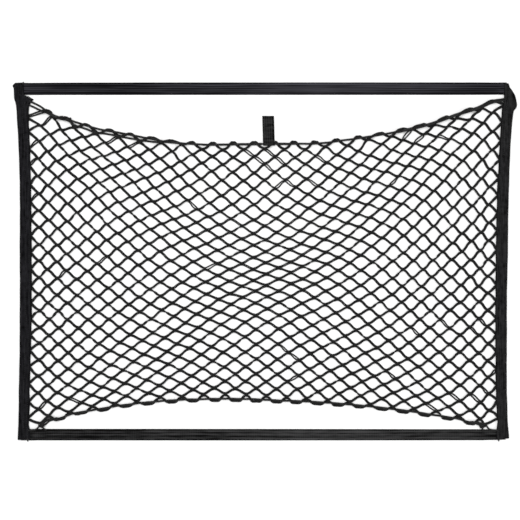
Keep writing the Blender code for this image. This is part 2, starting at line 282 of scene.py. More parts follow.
def smooth_line(p, step, closed_form=False):
    """Evenly spaced points on a smooth curve through the points p."""
    p = np.asarray(p, dtype=float)
    t = np.concatenate([[0.0], np.cumsum(np.linalg.norm(np.diff(p, axis=0), axis=1))])
    slope = np.gradient(p, t, axis=0)
    fine = np.linspace(0.0, t[-1], max(200, int(t[-1] / step * 6)))
    k = np.clip(np.searchsorted(t, fine, side="right") - 1, 0, len(t) - 2)
    h = (t[k + 1] - t[k])[:, None]
    s = ((fine - t[k]) / h[:, 0])[:, None]
    curve = ((2 * s**3 - 3 * s**2 + 1) * p[k] + (s**3 - 2 * s**2 + s) * h * slope[k]
             + (-2 * s**3 + 3 * s**2) * p[k + 1] + (s**3 - s**2) * h * slope[k + 1])
    length = np.concatenate([[0.0], np.cumsum(np.linalg.norm(np.diff(curve, axis=0), axis=1))])
    even = np.linspace(0.0, length[-1], max(3, int(round(length[-1] / step)) + 1))
    return np.stack([np.interp(even, length, curve[:, d]) for d in range(p.shape[1])], axis=1)


def table_curve(table, columns, first, second, at, knots):
    """Two columns of a table as smooth functions, without overshoot."""
    out = []
    for name in (first, second):
        v = column(table, columns, name)
        slope = np.diff(v) / np.diff(knots)
        m = np.zeros(len(v))
        m[1:-1] = np.where(slope[:-1] * slope[1:] > 0,
                           2 * slope[:-1] * slope[1:] / (slope[:-1] + slope[1:] + 1e-9), 0.0)
        m[0], m[-1] = slope[0], slope[-1]
        k = np.clip(np.searchsorted(knots, at, side="right") - 1, 0, len(v) - 2)
        h = knots[k + 1] - knots[k]
        s = (at - knots[k]) / h
        out.append((2 * s**3 - 3 * s**2 + 1) * v[k] + (s**3 - 2 * s**2 + s) * h * m[k]
                   + (-2 * s**3 + 3 * s**2) * v[k + 1] + (s**3 - s**2) * h * m[k + 1])
    return out


class Builder:
    """Collects closed bodies and makes one mesh of them."""

    def __init__(self):
        self.verts, self.faces, self.uv, self.count = [], [], [], 0

    def add(self, verts, faces, along):
        self.verts.append(np.asarray(verts, dtype=float))
        self.faces.extend([[i + self.count for i in f] for f in faces])
        self.uv.append(np.asarray(along, dtype=float))
        self.count += len(verts)

    def grid(self, points, along, wrap=True, caps=True):
        """A body from rings of points, ring by ring."""
        rings, sides = points.shape[:2]
        index = np.arange(rings * sides).reshape(rings, sides) + self.count
        a = index[:-1]
        b = index[1:]
        quads = np.stack([a, np.roll(a, -1, axis=1), np.roll(b, -1, axis=1), b], axis=-1).reshape(-1, 4)
        self.faces.extend(quads.tolist())
        if caps:
            self.faces.append(index[0][::-1].tolist())
            self.faces.append(index[-1].tolist())
        self.verts.append(points.reshape(-1, 3))
        self.uv.append(along.reshape(-1, 3))
        self.count += rings * sides

    def make(self, name, mats, slot, sharp=None):
        mesh = bpy.data.meshes.new(name)
        verts = np.concatenate(self.verts)
        verts = (verts - np.array([0.0, CENTRE_Y, 0.0])) * MM
        starts = np.cumsum([0] + [len(f) for f in self.faces])
        loops = np.array([i for f in self.faces for i in f], dtype=np.int32)
        mesh.vertices.add(len(verts))
        mesh.vertices.foreach_set("co", verts.astype(np.float32).ravel())
        mesh.loops.add(len(loops))
        mesh.loops.foreach_set("vertex_index", loops)
        mesh.polygons.add(len(self.faces))
        mesh.polygons.foreach_set("loop_start", np.array(starts[:-1], dtype=np.int32))
        mesh.polygons.foreach_set("use_smooth", np.ones(len(self.faces), dtype=bool))
        mesh.update(calc_edges=True)
        mesh.validate()
        layer = mesh.attributes.new("lay", "FLOAT_VECTOR", "POINT")
        layer.data.foreach_set("vector", np.concatenate(self.uv).astype(np.float32).ravel())
        for mat in mats:
            mesh.materials.append(mat)
        obj = bpy.data.objects.new(name, mesh)
        bpy.context.scene.collection.objects.link(obj)
        if sharp is not None:
            mesh.set_sharp_from_angle(angle=math.radians(sharp))
        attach(obj, BODY)
        return obj


def tube(builder, path, radius, sides, phase=0.0, flat=1.0, taper=0.0):
    """A round yarn along a path.  flat squeezes its height."""
    path = np.asarray(path, dtype=float)
    run = np.gradient(path, axis=0)
    run = unit(run)
    up = np.array([0.0, 0.0, 1.0])
    side = unit(np.cross(run, up))
    top = unit(np.cross(side, run))
    length = np.concatenate([[0.0], np.cumsum(np.linalg.norm(np.diff(path, axis=0), axis=1))])
    radius = np.broadcast_to(np.asarray(radius, dtype=float), (len(path),)).copy()
    if taper:
        radius *= np.clip(np.minimum(length, length[-1] - length) / taper, 0.0, 1.0) ** 0.5 * 0.75 + 0.25
    angle = np.linspace(0.0, 2 * math.pi, sides, endpoint=False)
    ca, sa = np.cos(angle), np.sin(angle)
    ring = (path[:, None, :] + radius[:, None, None] * (ca[None, :, None] * side[:, None, :]
            + flat * sa[None, :, None] * top[:, None, :]))
    lay = np.stack([np.repeat((length + phase)[:, None] * MM, sides, axis=1),
                    np.repeat(ca[None, :], len(path), axis=0), np.repeat(sa[None, :], len(path), axis=0)], axis=-1)
    builder.grid(ring[:, ::-1], lay[:, ::-1])


# ------------------------------------------------------------------ materials
class Nodes:
    """Small helper around a material's node tree."""

    def __init__(self, name):
        self.mat = bpy.data.materials.new(name)
        self.mat.use_nodes = True
        self.tree = self.mat.node_tree
        self.shader = self.tree.nodes["Principled BSDF"]

    def node(self, kind, **settings):
        n = self.tree.nodes.new(kind)
        for key, value in settings.items():
            setattr(n, key, value)
        return n

    def link(self, a, b):
        self.tree.links.new(a, b)

    def value(self, x):
        return x

    def math(self, op, a, b=None, c=None, clamp=False):
        n = self.node("ShaderNodeMath", operation=op, use_clamp=clamp)
        for socket, v in zip(n.inputs, (a, b, c)):
            if v is None:
                continue
            if isinstance(v, (int, float)):
                socket.default_value = v
            else:
                self.link(v, socket)
        return n.outputs[0]

    def lay(self):
        attribute = self.node("ShaderNodeAttribute", attribute_type="GEOMETRY", attribute_name="lay")
        split = self.node("ShaderNodeSeparateXYZ")
        self.link(attribute.outputs["Vector"], split.inputs[0])
        return split.outputs

    def noise(self, scale, detail=2.0, rough=0.5, vector=None, stretch=None):
        if vector is None:
            coord = self.node("ShaderNodeTexCoord")
            vector = coord.outputs["Object"]
        if stretch is not None:
            mapping = self.node("ShaderNodeMapping")
            mapping.inputs["Scale"].default_value = stretch
            self.link(vector, mapping.inputs["Vector"])
            vector = mapping.outputs[0]
        n = self.node("ShaderNodeTexNoise")
        n.inputs["Scale"].default_value = scale
        n.inputs["Detail"].default_value = detail
        n.inputs["Roughness"].default_value = rough
        self.link(vector, n.inputs["Vector"])
        return n.outputs["Fac"]

    def colour(self, factor, dark, light, low=0.0, high=1.0):
        ramp = self.node("ShaderNodeValToRGB")
        ramp.color_ramp.elements[0].position = low
        ramp.color_ramp.elements[0].color = (*dark, 1.0)
        ramp.color_ramp.elements[1].position = high
        ramp.color_ramp.elements[1].color = (*light, 1.0)
        self.link(factor, ramp.inputs[0])
        self.link(ramp.outputs[0], self.shader.inputs["Base Color"])
        return ramp

    def contrast(self, value, gain):
        """The value spread out round a half, centred on nought."""
        return self.math("MULTIPLY", self.math("SUBTRACT", value, 0.5), gain)

    def total(self, first, *others):
        for other in others:
            first = self.math("ADD", first, other)
        return first

    def bump(self, height, distance, strength=1.0):
        b = self.node("ShaderNodeBump")
        b.inputs["Strength"].default_value = strength
        b.inputs["Distance"].default_value = distance
        self.link(height, b.inputs["Height"])
        self.link(b.outputs[0], self.shader.inputs["Normal"])

    def range(self, factor, low, high, target):
        n = self.node("ShaderNodeMapRange")
        n.inputs["To Min"].default_value = low
        n.inputs["To Max"].default_value = high
        self.link(factor, n.inputs["Value"])
        self.link(n.outputs[0], self.shader.inputs[target])


def grey(level, blue=0.0):
    return (level * (1.0 + blue * 0.12), level, level * (1.0 + blue))


def braid_material(name, pitch, starts, dark, light, distance, roughness, ior=1.3, tone=90.0):
    """Braided yarn: two families of small strands winding opposite ways."""
    n = Nodes(name)
    along, ca, sa = n.lay()
    turn = n.math("ARCTAN2", sa, ca)
    run = n.math("MULTIPLY", along, 2 * math.pi / pitch)
    around = n.math("MULTIPLY", turn, float(starts))
    right = n.math("SINE", n.math("ADD", run, around))
    left = n.math("SINE", n.math("SUBTRACT", run, around))
    # the family that lies on top changes from one crossing to the next
    weave = n.math("MAXIMUM", n.math("MULTIPLY", right, 0.5), n.math("MULTIPLY", left, 0.5))
    height = n.math("ADD", weave, 0.5)
    fine = n.noise(2600.0, 3.0, 0.6)
    tint = n.noise(tone, 2.0, 0.5)
    # the colour follows the braid's height: darker where it lies low, painted shade in the grooves between its
    # strands; the noise adds random tone
    mixed = n.math("ADD", n.math("MULTIPLY", height, 0.62),
                   n.math("ADD", n.math("MULTIPLY", fine, 0.22), n.math("MULTIPLY", tint, 0.30)))
    n.colour(mixed, dark, light, 0.25, 0.95)
    n.bump(n.math("ADD", height, n.math("MULTIPLY", fine, 0.35)), distance)
    n.range(height, roughness[1], roughness[0], "Roughness")
    n.range(mixed, 0.08, 0.55, "Specular IOR Level")
    n.shader.inputs["IOR"].default_value = ior
    return n.mat


def webbing_material(name, width, rib_centres, rib_width, pick, pick_depth, dark, light, seed_shift, base=0.14, edge=2.2,
                     streaks=(26.0, 75.0), gains=(1.5, 0.9), painted_sheen=None):
    """Woven tape: lengthwise ribs at set places across it, crosswise picks.
    sheen is a painted highlight in the base colour: where along the tape it is
    lightest, over what length, by how much, and how much darker the colour is
    painted elsewhere."""
    n = Nodes(name)
    along, across, face = n.lay()
    # the ribs are painted lighter than the ground between them: partly their own tone, partly a painted highlight on
    # their crests and painted shade between them
    ribs = None
    wander = n.math("MULTIPLY", n.math("SINE", n.math("MULTIPLY", along, 2 * math.pi / 0.47)), 0.7 * MM)
    for centre in rib_centres:
        d = n.math("DIVIDE", n.math("ADD", n.math("SUBTRACT", across, centre * MM), wander), rib_width * 0.5 * MM)
        bell = n.math("SUBTRACT", 1.0, n.math("MULTIPLY", d, d), clamp=True)
        ribs = bell if ribs is None else n.math("MAXIMUM", ribs, bell)
    # warp threads: fine lengthwise cords, and picks that cross them
    warp = n.math("MULTIPLY", n.math("ADD", n.math("SINE", n.math("MULTIPLY", across, 2 * math.pi / (0.95 * MM))), 1.0), 0.5)
    shift = n.math("MULTIPLY", n.math("SINE", n.math("MULTIPLY", across, math.pi / (0.95 * MM))), 0.9)
    cross = n.math("MULTIPLY", n.math("ADD", n.math("SINE", n.math("ADD", n.math("MULTIPLY", along, 2 * math.pi / (pick * MM)), shift)), 1.0), 0.5)
    streak = n.noise(1.0, 3.0, 0.6, stretch=(streaks[0] + seed_shift, 330.0, 260.0))
    patch = n.noise(1.0, 2.0, 0.5, stretch=(streaks[1] + seed_shift, 300.0, 200.0))
    fine = n.noise(3000.0, 2.0, 0.6)
    weave = n.math("ADD", n.math("MULTIPLY", warp, 0.5), n.math("MULTIPLY", cross, pick_depth))
    mixed = n.total(n.math("MULTIPLY", ribs, 0.34), n.math("MULTIPLY", weave, 0.14), n.contrast(streak, gains[0]),
                    n.contrast(patch, gains[1]), n.contrast(fine, 0.25), base)
    # painted highlight: a broad lighter band along the tape is put into the base colour, and the colour is darkened
    # elsewhere
    if painted_sheen:
        centre, length, high, low = painted_sheen
        off = n.math("DIVIDE", n.math("SUBTRACT", along, centre), length)
        bell = n.math("EXPONENT", n.math("MULTIPLY", n.math("MULTIPLY", off, off), -1.0))
        mixed = n.total(mixed, n.math("MULTIPLY", bell, high), -low)
    # both selvedges are dark
    rim = n.math("DIVIDE", n.math("MINIMUM", across, n.math("SUBTRACT", width * MM, across)), edge * MM, clamp=True)
    mixed = n.math("MULTIPLY", n.math("MULTIPLY", mixed, 1.0, clamp=True), n.math("ADD", n.math("MULTIPLY", rim, 0.72), 0.28))
    n.colour(mixed, dark, light, 0.0, 1.0)
    n.bump(n.math("ADD", weave, n.math("MULTIPLY", fine, 0.3)), 0.00016)
    n.range(streak, 0.62, 0.85, "Roughness")
    n.shader.inputs["IOR"].default_value = 1.32
    n.range(mixed, 0.02, 0.80, "Specular IOR Level")
    return n.mat


def tape_material(name, dark, light, seed_shift, base=0.45):
    """Thin binding tape: plain fine weave, faint lengthwise lines."""
    n = Nodes(name)
    along, across, face = n.lay()
    warp = n.math("SINE", n.math("MULTIPLY", across, 2 * math.pi / (0.8 * MM)))
    weft = n.math("SINE", n.math("MULTIPLY", along, 2 * math.pi / (0.9 * MM)))
    weave = n.math("MULTIPLY", n.math("ADD", n.math("MULTIPLY", warp, weft), 1.0), 0.5)
    streak = n.noise(1.0, 3.0, 0.55, stretch=(330.0, 20.0 + seed_shift, 260.0))
    patch = n.noise(150.0, 3.0, 0.6)
    fine = n.noise(2800.0, 2.0, 0.6)
    mixed = n.total(n.contrast(weave, 0.14), n.contrast(streak, 1.5), n.contrast(patch, 1.1), n.contrast(fine, 0.3), base)
    # darker along the fold and along the open edge
    rim = n.math("MULTIPLY", n.math("DIVIDE", across, 2.4 * MM, clamp=True),
                 n.math("DIVIDE", n.math("SUBTRACT", 1.0, face), 0.09, clamp=True))
    mixed = n.math("MULTIPLY", n.math("MULTIPLY", mixed, 1.0, clamp=True), n.math("ADD", n.math("MULTIPLY", rim, 0.75), 0.25))
    n.colour(mixed, dark, light, 0.0, 1.0)
    n.bump(n.math("ADD", weave, n.math("MULTIPLY", fine, 0.35)), 0.00012)
    n.range(patch, 0.62, 0.88, "Roughness")
    n.shader.inputs["IOR"].default_value = 1.3
    n.range(mixed, 0.02, 0.55, "Specular IOR Level")
    return n.mat


yarn_mat = braid_material("net_yarn_black", 2.6 * MM, 3, grey(0.0020), grey(0.0130), 0.00022, (0.55, 0.85))
cord_mat = braid_material("edge_cord_black", 3.4 * MM, 4, grey(0.0030), grey(0.0180), 0.00024, (0.5, 0.8))
thread_mat = braid_material("sewing_thread_black", 1.1 * MM, 1, grey(0.0020), grey(0.0120), 0.00008, (0.4, 0.6), 1.4)
# the top and bottom webbing colours carry a painted highlight, lightest a little right of the middle
top_web_mat = webbing_material("top_webbing_black", 21.7, (3.8, 8.7, 12.5, 16.1), 3.0, 1.25, 0.4, grey(0.0040, 0.20), grey(0.0430, 0.27), 0.0, base=0.10,
                               streaks=(5.0, 15.0), gains=(1.2, 0.7), painted_sheen=(0.117, 0.205, 0.31, 0.145))
bottom_web_mat = webbing_material("bottom_webbing_black", 20.0, (3.8, 10.6, 15.8), 3.4, 3.2, 1.3, grey(0.0028), grey(0.0390, 0.02), 2.0, base=0.11,
                                  streaks=(12.0, 40.0), gains=(1.3, 0.9), painted_sheen=(0.130, 0.245, 0.34, 0.195))
tab_web_mat = webbing_material("tab_webbing_black", 21.0, (4.4, 8.5, 12.5, 16.6), 3.0, 1.25, 0.5, grey(0.0012), grey(0.0205), 3.0)
left_tape_mat = tape_material("left_binding_tape_black", grey(0.0006, 0.15), grey(0.0094, 0.32), 0.0)
right_tape_mat = tape_material("right_binding_tape_black", grey(0.0009), grey(0.0180, 0.06), 5.0)


# -------------------------------------------------------------- binding edges
def open_edge(table, y):
    edge_y = column(table, BINDING_COLUMNS, "open_y")
    edge_x = column(table, BINDING_COLUMNS, "open_x")
    return np.interp(y, edge_y[::-1], edge_x[::-1])


def rise(x, y):
    left = (x - open_edge(LEFT_BINDING, y) - 1.0) / RAMP
    right = (open_edge(RIGHT_BINDING, y) - 1.0 - x) / RAMP
    return FOLD_Z * (1.0 - ease(np.minimum(left, right)))


# ------------------------------------------------------------------ junctions
rng = np.random.default_rng(11)
rows = np.arange(ROW_TOP, ROW_END + 1)
cols = np.arange(0, LAST + 1)
knot_rows = [r for r, _ in MESH_X]
across_w = spline_weights(MESH_COLUMNS, cols)
down_w = spline_weights(knot_rows, rows)
grid_x = down_w @ np.array([v for _, v in MESH_X], dtype=float) @ across_w.T
grid_y = down_w @ np.array([v for _, v in MESH_Y], dtype=float) @ across_w.T

top_line = smooth_line(TOP_CORD, 1.0)
bottom_line = smooth_line(BOTTOM_CORD, 1.0)


def nearest(line, p):
    d = np.linalg.norm(line - np.asarray(p)[None, :], axis=1)
    return int(d.argmin())


pulled = {(c, r): (x, y) for c, r, x, y in PULLED}
knotted = {(c, r): (x, y) for c, r, x, y in KNOTTED}
open_legs = {(w, c): gap for w, c, gap in OPEN_LEGS}
junction = {}
loop_at = {}
for r in rows:
    for c in cols:
        if (c + r) % 2:
            continue
        if c % 2 == 0 and not (ROW_TOP + 1 <= r <= ROW_END - 1):
            continue
        x, y = grid_x[r - ROW_TOP, c], grid_y[r - ROW_TOP, c]
        wobble = rng.normal(0.0, 0.55, 2)
        if c == 0:
            x = float(open_edge(LEFT_BINDING, y)) - 0.2
            y += wobble[1] + pulled.get((c, r), (0.0, 0.0))[1]
        elif c == LAST:
            x = float(open_edge(RIGHT_BINDING, y)) + 0.2
            y += wobble[1]
        elif (c, r) in knotted:
            x, y = knotted[(c, r)]
        elif r in (ROW_TOP, ROW_END):
            x, y = x + pulled.get((c, r), (0.0, 0.0))[0], y + pulled.get((c, r), (0.0, 0.0))[1]
            line = top_line if r == ROW_TOP else bottom_line
            loop_at[(c, r)] = nearest(line, (x, y))
            x, y = line[loop_at[(c, r)]]
        else:
            x += wobble[0] + pulled.get((c, r), (0.0, 0.0))[0]
            y += wobble[1] + pulled.get((c, r), (0.0, 0.0))[1]
        junction[(c, r)] = np.array([x, y])


# ------------------------------------------------------------------ edge cords
# height of each cord: it rides over the yarns that pass below it
CROSS_UNDER = 11.0    # from a loop's middle to where its yarns pass under the cord
UNDER_RUN = 7.0


def cord_heights(line, row, tab=False):
    s = np.arange(len(line), dtype=float)
    lift = np.zeros(len(line))
    for (c, r), k in loop_at.items():
        if r != row:
            continue
        lift = np.maximum(lift, ease((UNDER_RUN + 7.0 - np.abs(s - (k + CROSS_UNDER))) / 7.0))
    z = CORD_R + 2 * YARN_R * lift
    if tab:
        away = (np.abs(line[:, 0] - TAB_X) - TAB_HALF - 2.0) / 16.0
        held = TAB_EYE + TAB_T / 2
        z = z * ease(away) + np.maximum(held, z * 0.0 + held) * (1.0 - ease(away))
    return z


top_z = cord_heights(top_line, ROW_TOP, tab=True)
bottom_z = cord_heights(bottom_line, ROW_END)


def line_frame(line):
    run = unit(np.gradient(line, axis=0))
    return run, np.stack([-run[:, 1], run[:, 0]], axis=1)


top_run, top_out = line_frame(top_line)
bottom_run, bottom_up = line_frame(bottom_line)
bottom_out = -bottom_up


# The cord is doubled back near its ends.  Half the distance between the cord
# and its doubled length: a row for each change; 0 where the cord is single.
SPREAD_COLUMNS = ("x", "half")
TOP_SPREAD = (
    (-432.0, 3.0), (-420.0, 3.4), (-405.0, 3.3), (-396.0, 1.9), (-388.0, 1.1), (-352.0, 1.1), (-345.0, 2.2), (-338.0, 3.1),
    (-318.0, 3.0), (-305.0, 3.9), (-296.0, 3.5), (-287.0, 2.9), (-264.0, 3.1), (-252.0, 3.3), (-239.0, 3.1), (-225.0, 2.9),
    (-201.0, 2.5), (-190.0, 1.6), (-180.0, 0.4), (-170.0, 0.0), (226.0, 0.0), (240.0, 0.9), (324.0, 0.9), (350.0, 1.1), (385.0, 1.3),
    (398.0, 1.9), (412.0, 1.6), (430.0, 1.6),
)
BOTTOM_SPREAD = (
    (-402.0, 2.2), (-394.0, 2.0), (-384.0, 1.3), (-372.0, 0.6), (-362.0, 0.0),
    (362.0, 0.0), (372.0, 0.7), (384.0, 1.6), (392.0, 2.0),
)
# how far out a loop's middle lies from the cord's outer side
LOOP_COLUMNS = ("x", "out")
TOP_LOOPS = (
    (-395.0, 0.1), (-365.0, 0.2), (-320.0, -0.1), (-282.0, 1.0), (-243.0, 0.4), (-206.0, 0.6), (-170.0, 1.9),
    (100.0, 1.8), (150.0, 1.4), (215.0, 1.3), (240.0, 0.6), (310.0, 0.6), (330.0, 0.6), (373.0, 0.1), (408.0, -1.5),
)
BOTTOM_LOOPS = ((-370.0, 0.5), (-320.0, 0.8), (-285.0, 1.9), (330.0, 1.9), (370.0, 1.2))
TOP_DOUBLED = (-178.0, 236.0)       # where the doubled lengths begin
BOTTOM_DOUBLED = (-370.0, 368.0)


def spread_at(table, x):
    return float(np.interp(x, column(table, SPREAD_COLUMNS, "x"), column(table, SPREAD_COLUMNS, "half")))


def loop_out(table, x):
    return float(np.interp(x, column(table, LOOP_COLUMNS, "x"), column(table, LOOP_COLUMNS, "out")))


def stack_height(table, doubled, x):
    """How much higher the doubled length lies, where it rests on the cord."""
    half = np.interp(x, column(table, SPREAD_COLUMNS, "x"), column(table, SPREAD_COLUMNS, "half"))
    step = 2.0 * np.sqrt(np.maximum(CORD_R**2 - half**2, 0.0))
    return step * (ease((doubled[0] - x) / 8.0 + 0.5) + ease((x - doubled[1]) / 8.0 + 0.5))


# ------------------------------------------------------------------ mesh yarns
LEG_STEPS = 10
SIDES = 8
NODE_ANGLE = math.atan2(-0.9, 0.55)
NODE_HALF = 1.6       # half the spacing of two wales where they meet in a node
SLIP = 2.6            # how far they slip along the straight diagonal, for each radian it is turned
BESIDE = 0.30         # how much less they then stand above each other
BUNCHED = 1.7         # how much wider the nodes are where the mesh is bunched at the cord
LOOP_RUN_TOP = 2.7    # half the length a loop runs along the cord
LOOP_RUN_BOTTOM = 5.6


def tilt(p):
    """The net is pulled towards its upper corners: the yarns of that diagonal
    run straight through the nodes, and those of the other one bend."""
    x, y = p
    across = max(-1.0, min(1.0, x / 320.0))
    up = max(-0.35, min(1.35, (y + (132.0 if x < 0 else 165.0)) / 218.0))
    return 0.46 * across * up - 0.10 * math.exp(-((y - 60.0) / 120.0) ** 2) * (1.0 if x < 60 else 0.3)


def rotated(v, angle):
    c, s = math.cos(angle), math.sin(angle)
    return np.array([c * v[0] - s * v[1], s * v[0] + c * v[1]])


def open_chance(p, falling):
    """How often the two yarns of a leg stand apart."""
    x, y = p
    chance = 0.006 if not falling else 0.012
    chance += 0.13 * math.exp(-((x - 60) / 110.0) ** 2 - ((y - 165) / 60.0) ** 2) * (1.0 if falling else 0.35)
    chance += 0.06 * math.exp(-((x - 370) / 70.0) ** 2 - ((y + 190) / 90.0) ** 2) * (1.0 if falling else 0.3)
    chance += 0.05 * math.exp(-((x + 415) / 30.0) ** 2) * (0.2 if falling else 1.0)
    chance += 0.04 * math.exp(-((x - 400) / 30.0) ** 2) * (0.2 if falling else 1.0)
    return chance


def wale_nodes(w):
    """Centre of the yarn pair at each column, its direction and its kind."""
    points, kinds = [], []
    for c in cols:
        r = w if (c + w) % 2 == 0 else w + 1
        points.append(junction[(c, r)])
        kinds.append("top" if r == w else "bottom")
    points = np.array(points)
    run = np.zeros_like(points)
    run[1:-1] = unit(points[2:] - points[:-2])
    inner = points.copy()
    for c in range(1, LAST):
        n = np.array([-run[c][1], run[c][0]])
        r = w if kinds[c] == "top" else w + 1
        if (c, r) in loop_at:
            k = loop_at[(c, r)]
            if r == ROW_TOP:
                run[c] = top_run[k]
                inner[c] = points[c] + top_out[k] * (spread_at(TOP_SPREAD, points[c][0]) + CORD_R + loop_out(TOP_LOOPS, points[c][0]))
            else:
                run[c] = bottom_run[k]
                inner[c] = points[c] + bottom_out[k] * (spread_at(BOTTOM_SPREAD, points[c][0]) + CORD_R + loop_out(BOTTOM_LOOPS, points[c][0]))
            kinds[c] = "loop"
        elif (c, r) in knotted:
            inner[c] = points[c]
        else:
            half = NODE_HALF * (BUNCHED if r == ROW_TOP + 1 and 4 <= c <= 12 else 1.0)
            side = -1.0 if kinds[c] == "top" else 1.0
            bend = tilt(points[c])
            # where one diagonal runs straight through, the two wales of a
            # node lie side by side, one beyond the other along it
            beside = 1.0 - BESIDE * min(1.0, abs(bend) / 0.42)
            inner[c] = points[c] + side * half * (n * beside + run[c] * max(-0.8, min(0.8, SLIP * bend)))
            run[c] = rotated(run[c], bend)
    # ends, where the pair goes into a side fold
    for c, toward in ((0, 1), (LAST, -1)):
        lean = 1.0 if kinds[c] == "bottom" else -1.0
        inner[c] = points[c] + np.array([0.0, 2.25 * lean])
        leg = unit(inner[c + toward] - inner[c])
        run[c] = unit(leg * 0.75 + np.array([toward * 0.45, 0.0])) * toward
        kinds[c] = "side"
    return inner, run, kinds


def wale_paths(w, rand):
    """The two yarns of one wale as two paths."""
    p, run, kinds = wale_nodes(w)
    centre, angle, spread, lift = [], [], [], []
    angle_now = NODE_ANGLE
    s = (1.0 - np.cos(np.linspace(0.0, math.pi, LEG_STEPS + 1))) / 2.0
    s = 0.55 * s + 0.45 * np.linspace(0.0, 1.0, LEG_STEPS + 1)
    for c in range(LAST):
        a, b = p[c], p[c + 1]
        length = np.linalg.norm(b - a)
        middle = (a + b) / 2
        grip = [rand.uniform(0.98, 1.22) for _ in range(2)]
        flat_run = (LOOP_RUN_TOP if w == ROW_TOP else LOOP_RUN_BOTTOM) * rand.uniform(0.85, 1.1)
        if w == ROW_TOP and not TOP_DOUBLED[0] < middle[0] < TOP_DOUBLED[1]:
            flat_run = flat_run * 0.55
        for side, kind in enumerate((kinds[c], kinds[c + 1])):
            if kind == "loop":
                grip[side] = rand.uniform(0.55, 0.7)
                if w == ROW_TOP and TOP_DOUBLED[0] < middle[0] < TOP_DOUBLED[1]:
                    grip[side] *= 0.55
                    grip[1 - side] *= 1.3
            elif kind == "side":
                grip[side] = 0.35
        m0, m1 = run[c] * grip[0] * length, run[c + 1] * grip[1] * length
        # a leg that ends in a loop runs along the cord for a while
        s0, s1, a1, b1 = 0.0, 1.0, a, b
        if kinds[c] == "loop":
            s0, a1 = 0.25, a + run[c] * flat_run
        if kinds[c + 1] == "loop":
            s1, b1 = 0.75, b - run[c + 1] * flat_run
        t = np.clip((s - s0) / (s1 - s0), 0.0, 1.0)[:, None]
        leg = ((2 * t**3 - 3 * t**2 + 1) * a1 + (t**3 - 2 * t**2 + t) * m0
               + (-2 * t**3 + 3 * t**2) * b1 + (t**3 - t**2) * m1)
        if s0 > 0.0:
            leg = np.where((s < s0)[:, None], a + (a1 - a) * (s / s0)[:, None], leg)
        if s1 < 1.0:
            leg = np.where((s > s1)[:, None], b1 + (b - b1) * ((s - s1) / (1.0 - s1))[:, None], leg)
        bow = rand.normal(0.0, 0.35)
        n = np.array([-(b - a)[1], (b - a)[0]]) / length
        leg = leg + (np.sin(math.pi * s) ** 2 * bow)[:, None] * n
        falling = b[1] < a[1]
        # how the pair turns along the leg
        half = 0
        if rand.random() < 0.14:
            half = 1 if rand.random() < 0.5 else -1
        stacked = rand.random()
        if half:
            swing = half * math.pi * ease((s - 0.12) / 0.76)
            extra = np.zeros_like(s)
        else:
            target = rand.uniform(0.35, 0.85) * rand.choice([-1, 1]) if stacked > 0.25 else rand.normal(0.0, 0.3)
            swing = np.zeros_like(s)
            extra = (target - NODE_ANGLE) * np.sin(math.pi * s) ** 0.8
        apart, shape, toward = 0.0, 1.3, 1.0
        if (w, c) in open_legs:
            apart, shape = open_legs[(w, c)] * 0.75, 0.6
        elif "loop" not in (kinds[c], kinds[c + 1]) and rand.random() < open_chance(middle, falling):
            # mostly open near one of the leg's nodes
            apart, shape, toward = rand.uniform(0.6, 1.15), rand.uniform(1.2, 2.4), rand.choice([0.55, 0.7, 1.5, 1.9])
        if apart:
            swing = np.zeros_like(s)
            extra = (rand.normal(0.0, 0.1) - NODE_ANGLE) * np.sin(math.pi * s) ** 0.6
        turn = angle_now + swing + extra
        angle_now = angle_now + (half * math.pi if not apart else 0.0)
        gap = PAIR + rand.uniform(0.0, 0.07) * np.sin(math.pi * s) + apart * np.sin(math.pi * s**toward) ** shape
        up = np.sin(math.pi * s) ** 2 * rand.uniform(0.0, 0.5)
        keep = slice(0, LEG_STEPS) if c < LAST - 1 else slice(0, LEG_STEPS + 1)
        centre.append(leg[keep])
        angle.append(turn[keep])
        spread.append(gap[keep])
        lift.append(up[keep])
    centre = np.concatenate(centre)
    angle = np.concatenate(angle)
    spread = np.concatenate(spread)
    lift = np.concatenate(lift)
    step = unit(np.gradient(centre, axis=0))
    side = np.stack([-step[:, 1], step[:, 0]], axis=1)

    # yarns by a side fold lie flat, side by side, at the height of the fold
    edge = np.minimum(centre[:, 0] - open_edge(LEFT_BINDING, centre[:, 1]),
                      open_edge(RIGHT_BINDING, centre[:, 1]) - centre[:, 0])
    fold = 1.0 - ease((edge - 0.8) / 9.0)
    flat_turn = np.round(angle / math.pi) * math.pi
    angle = angle * (1 - fold) + flat_turn * fold

    over = np.zeros(len(centre))
    if w in (ROW_TOP, ROW_END - 1):
        line, z, out = (top_line, top_z, top_out) if w == ROW_TOP else (bottom_line, bottom_z, bottom_out)
        row = ROW_TOP if w == ROW_TOP else ROW_END
        reach = np.array([nearest(line, q) for q in centre])
        off = np.einsum("ij,ij->i", centre - line[reach], out[reach])
        marks = np.array(sorted(k for (c, r), k in loop_at.items() if r == row))
        which = np.abs(reach[:, None] - marks[None, :]).argmin(axis=1)
        before = ease((marks[which] - reach) / 5.0 + 0.5)
        # shoulder: beside the cord one yarn leans on it
        table = TOP_SPREAD if w == ROW_TOP else BOTTOM_SPREAD
        doubled = TOP_DOUBLED if w == ROW_TOP else BOTTOM_DOUBLED
        edge_at = np.array([spread_at(table, q[0]) for q in centre]) + CORD_R
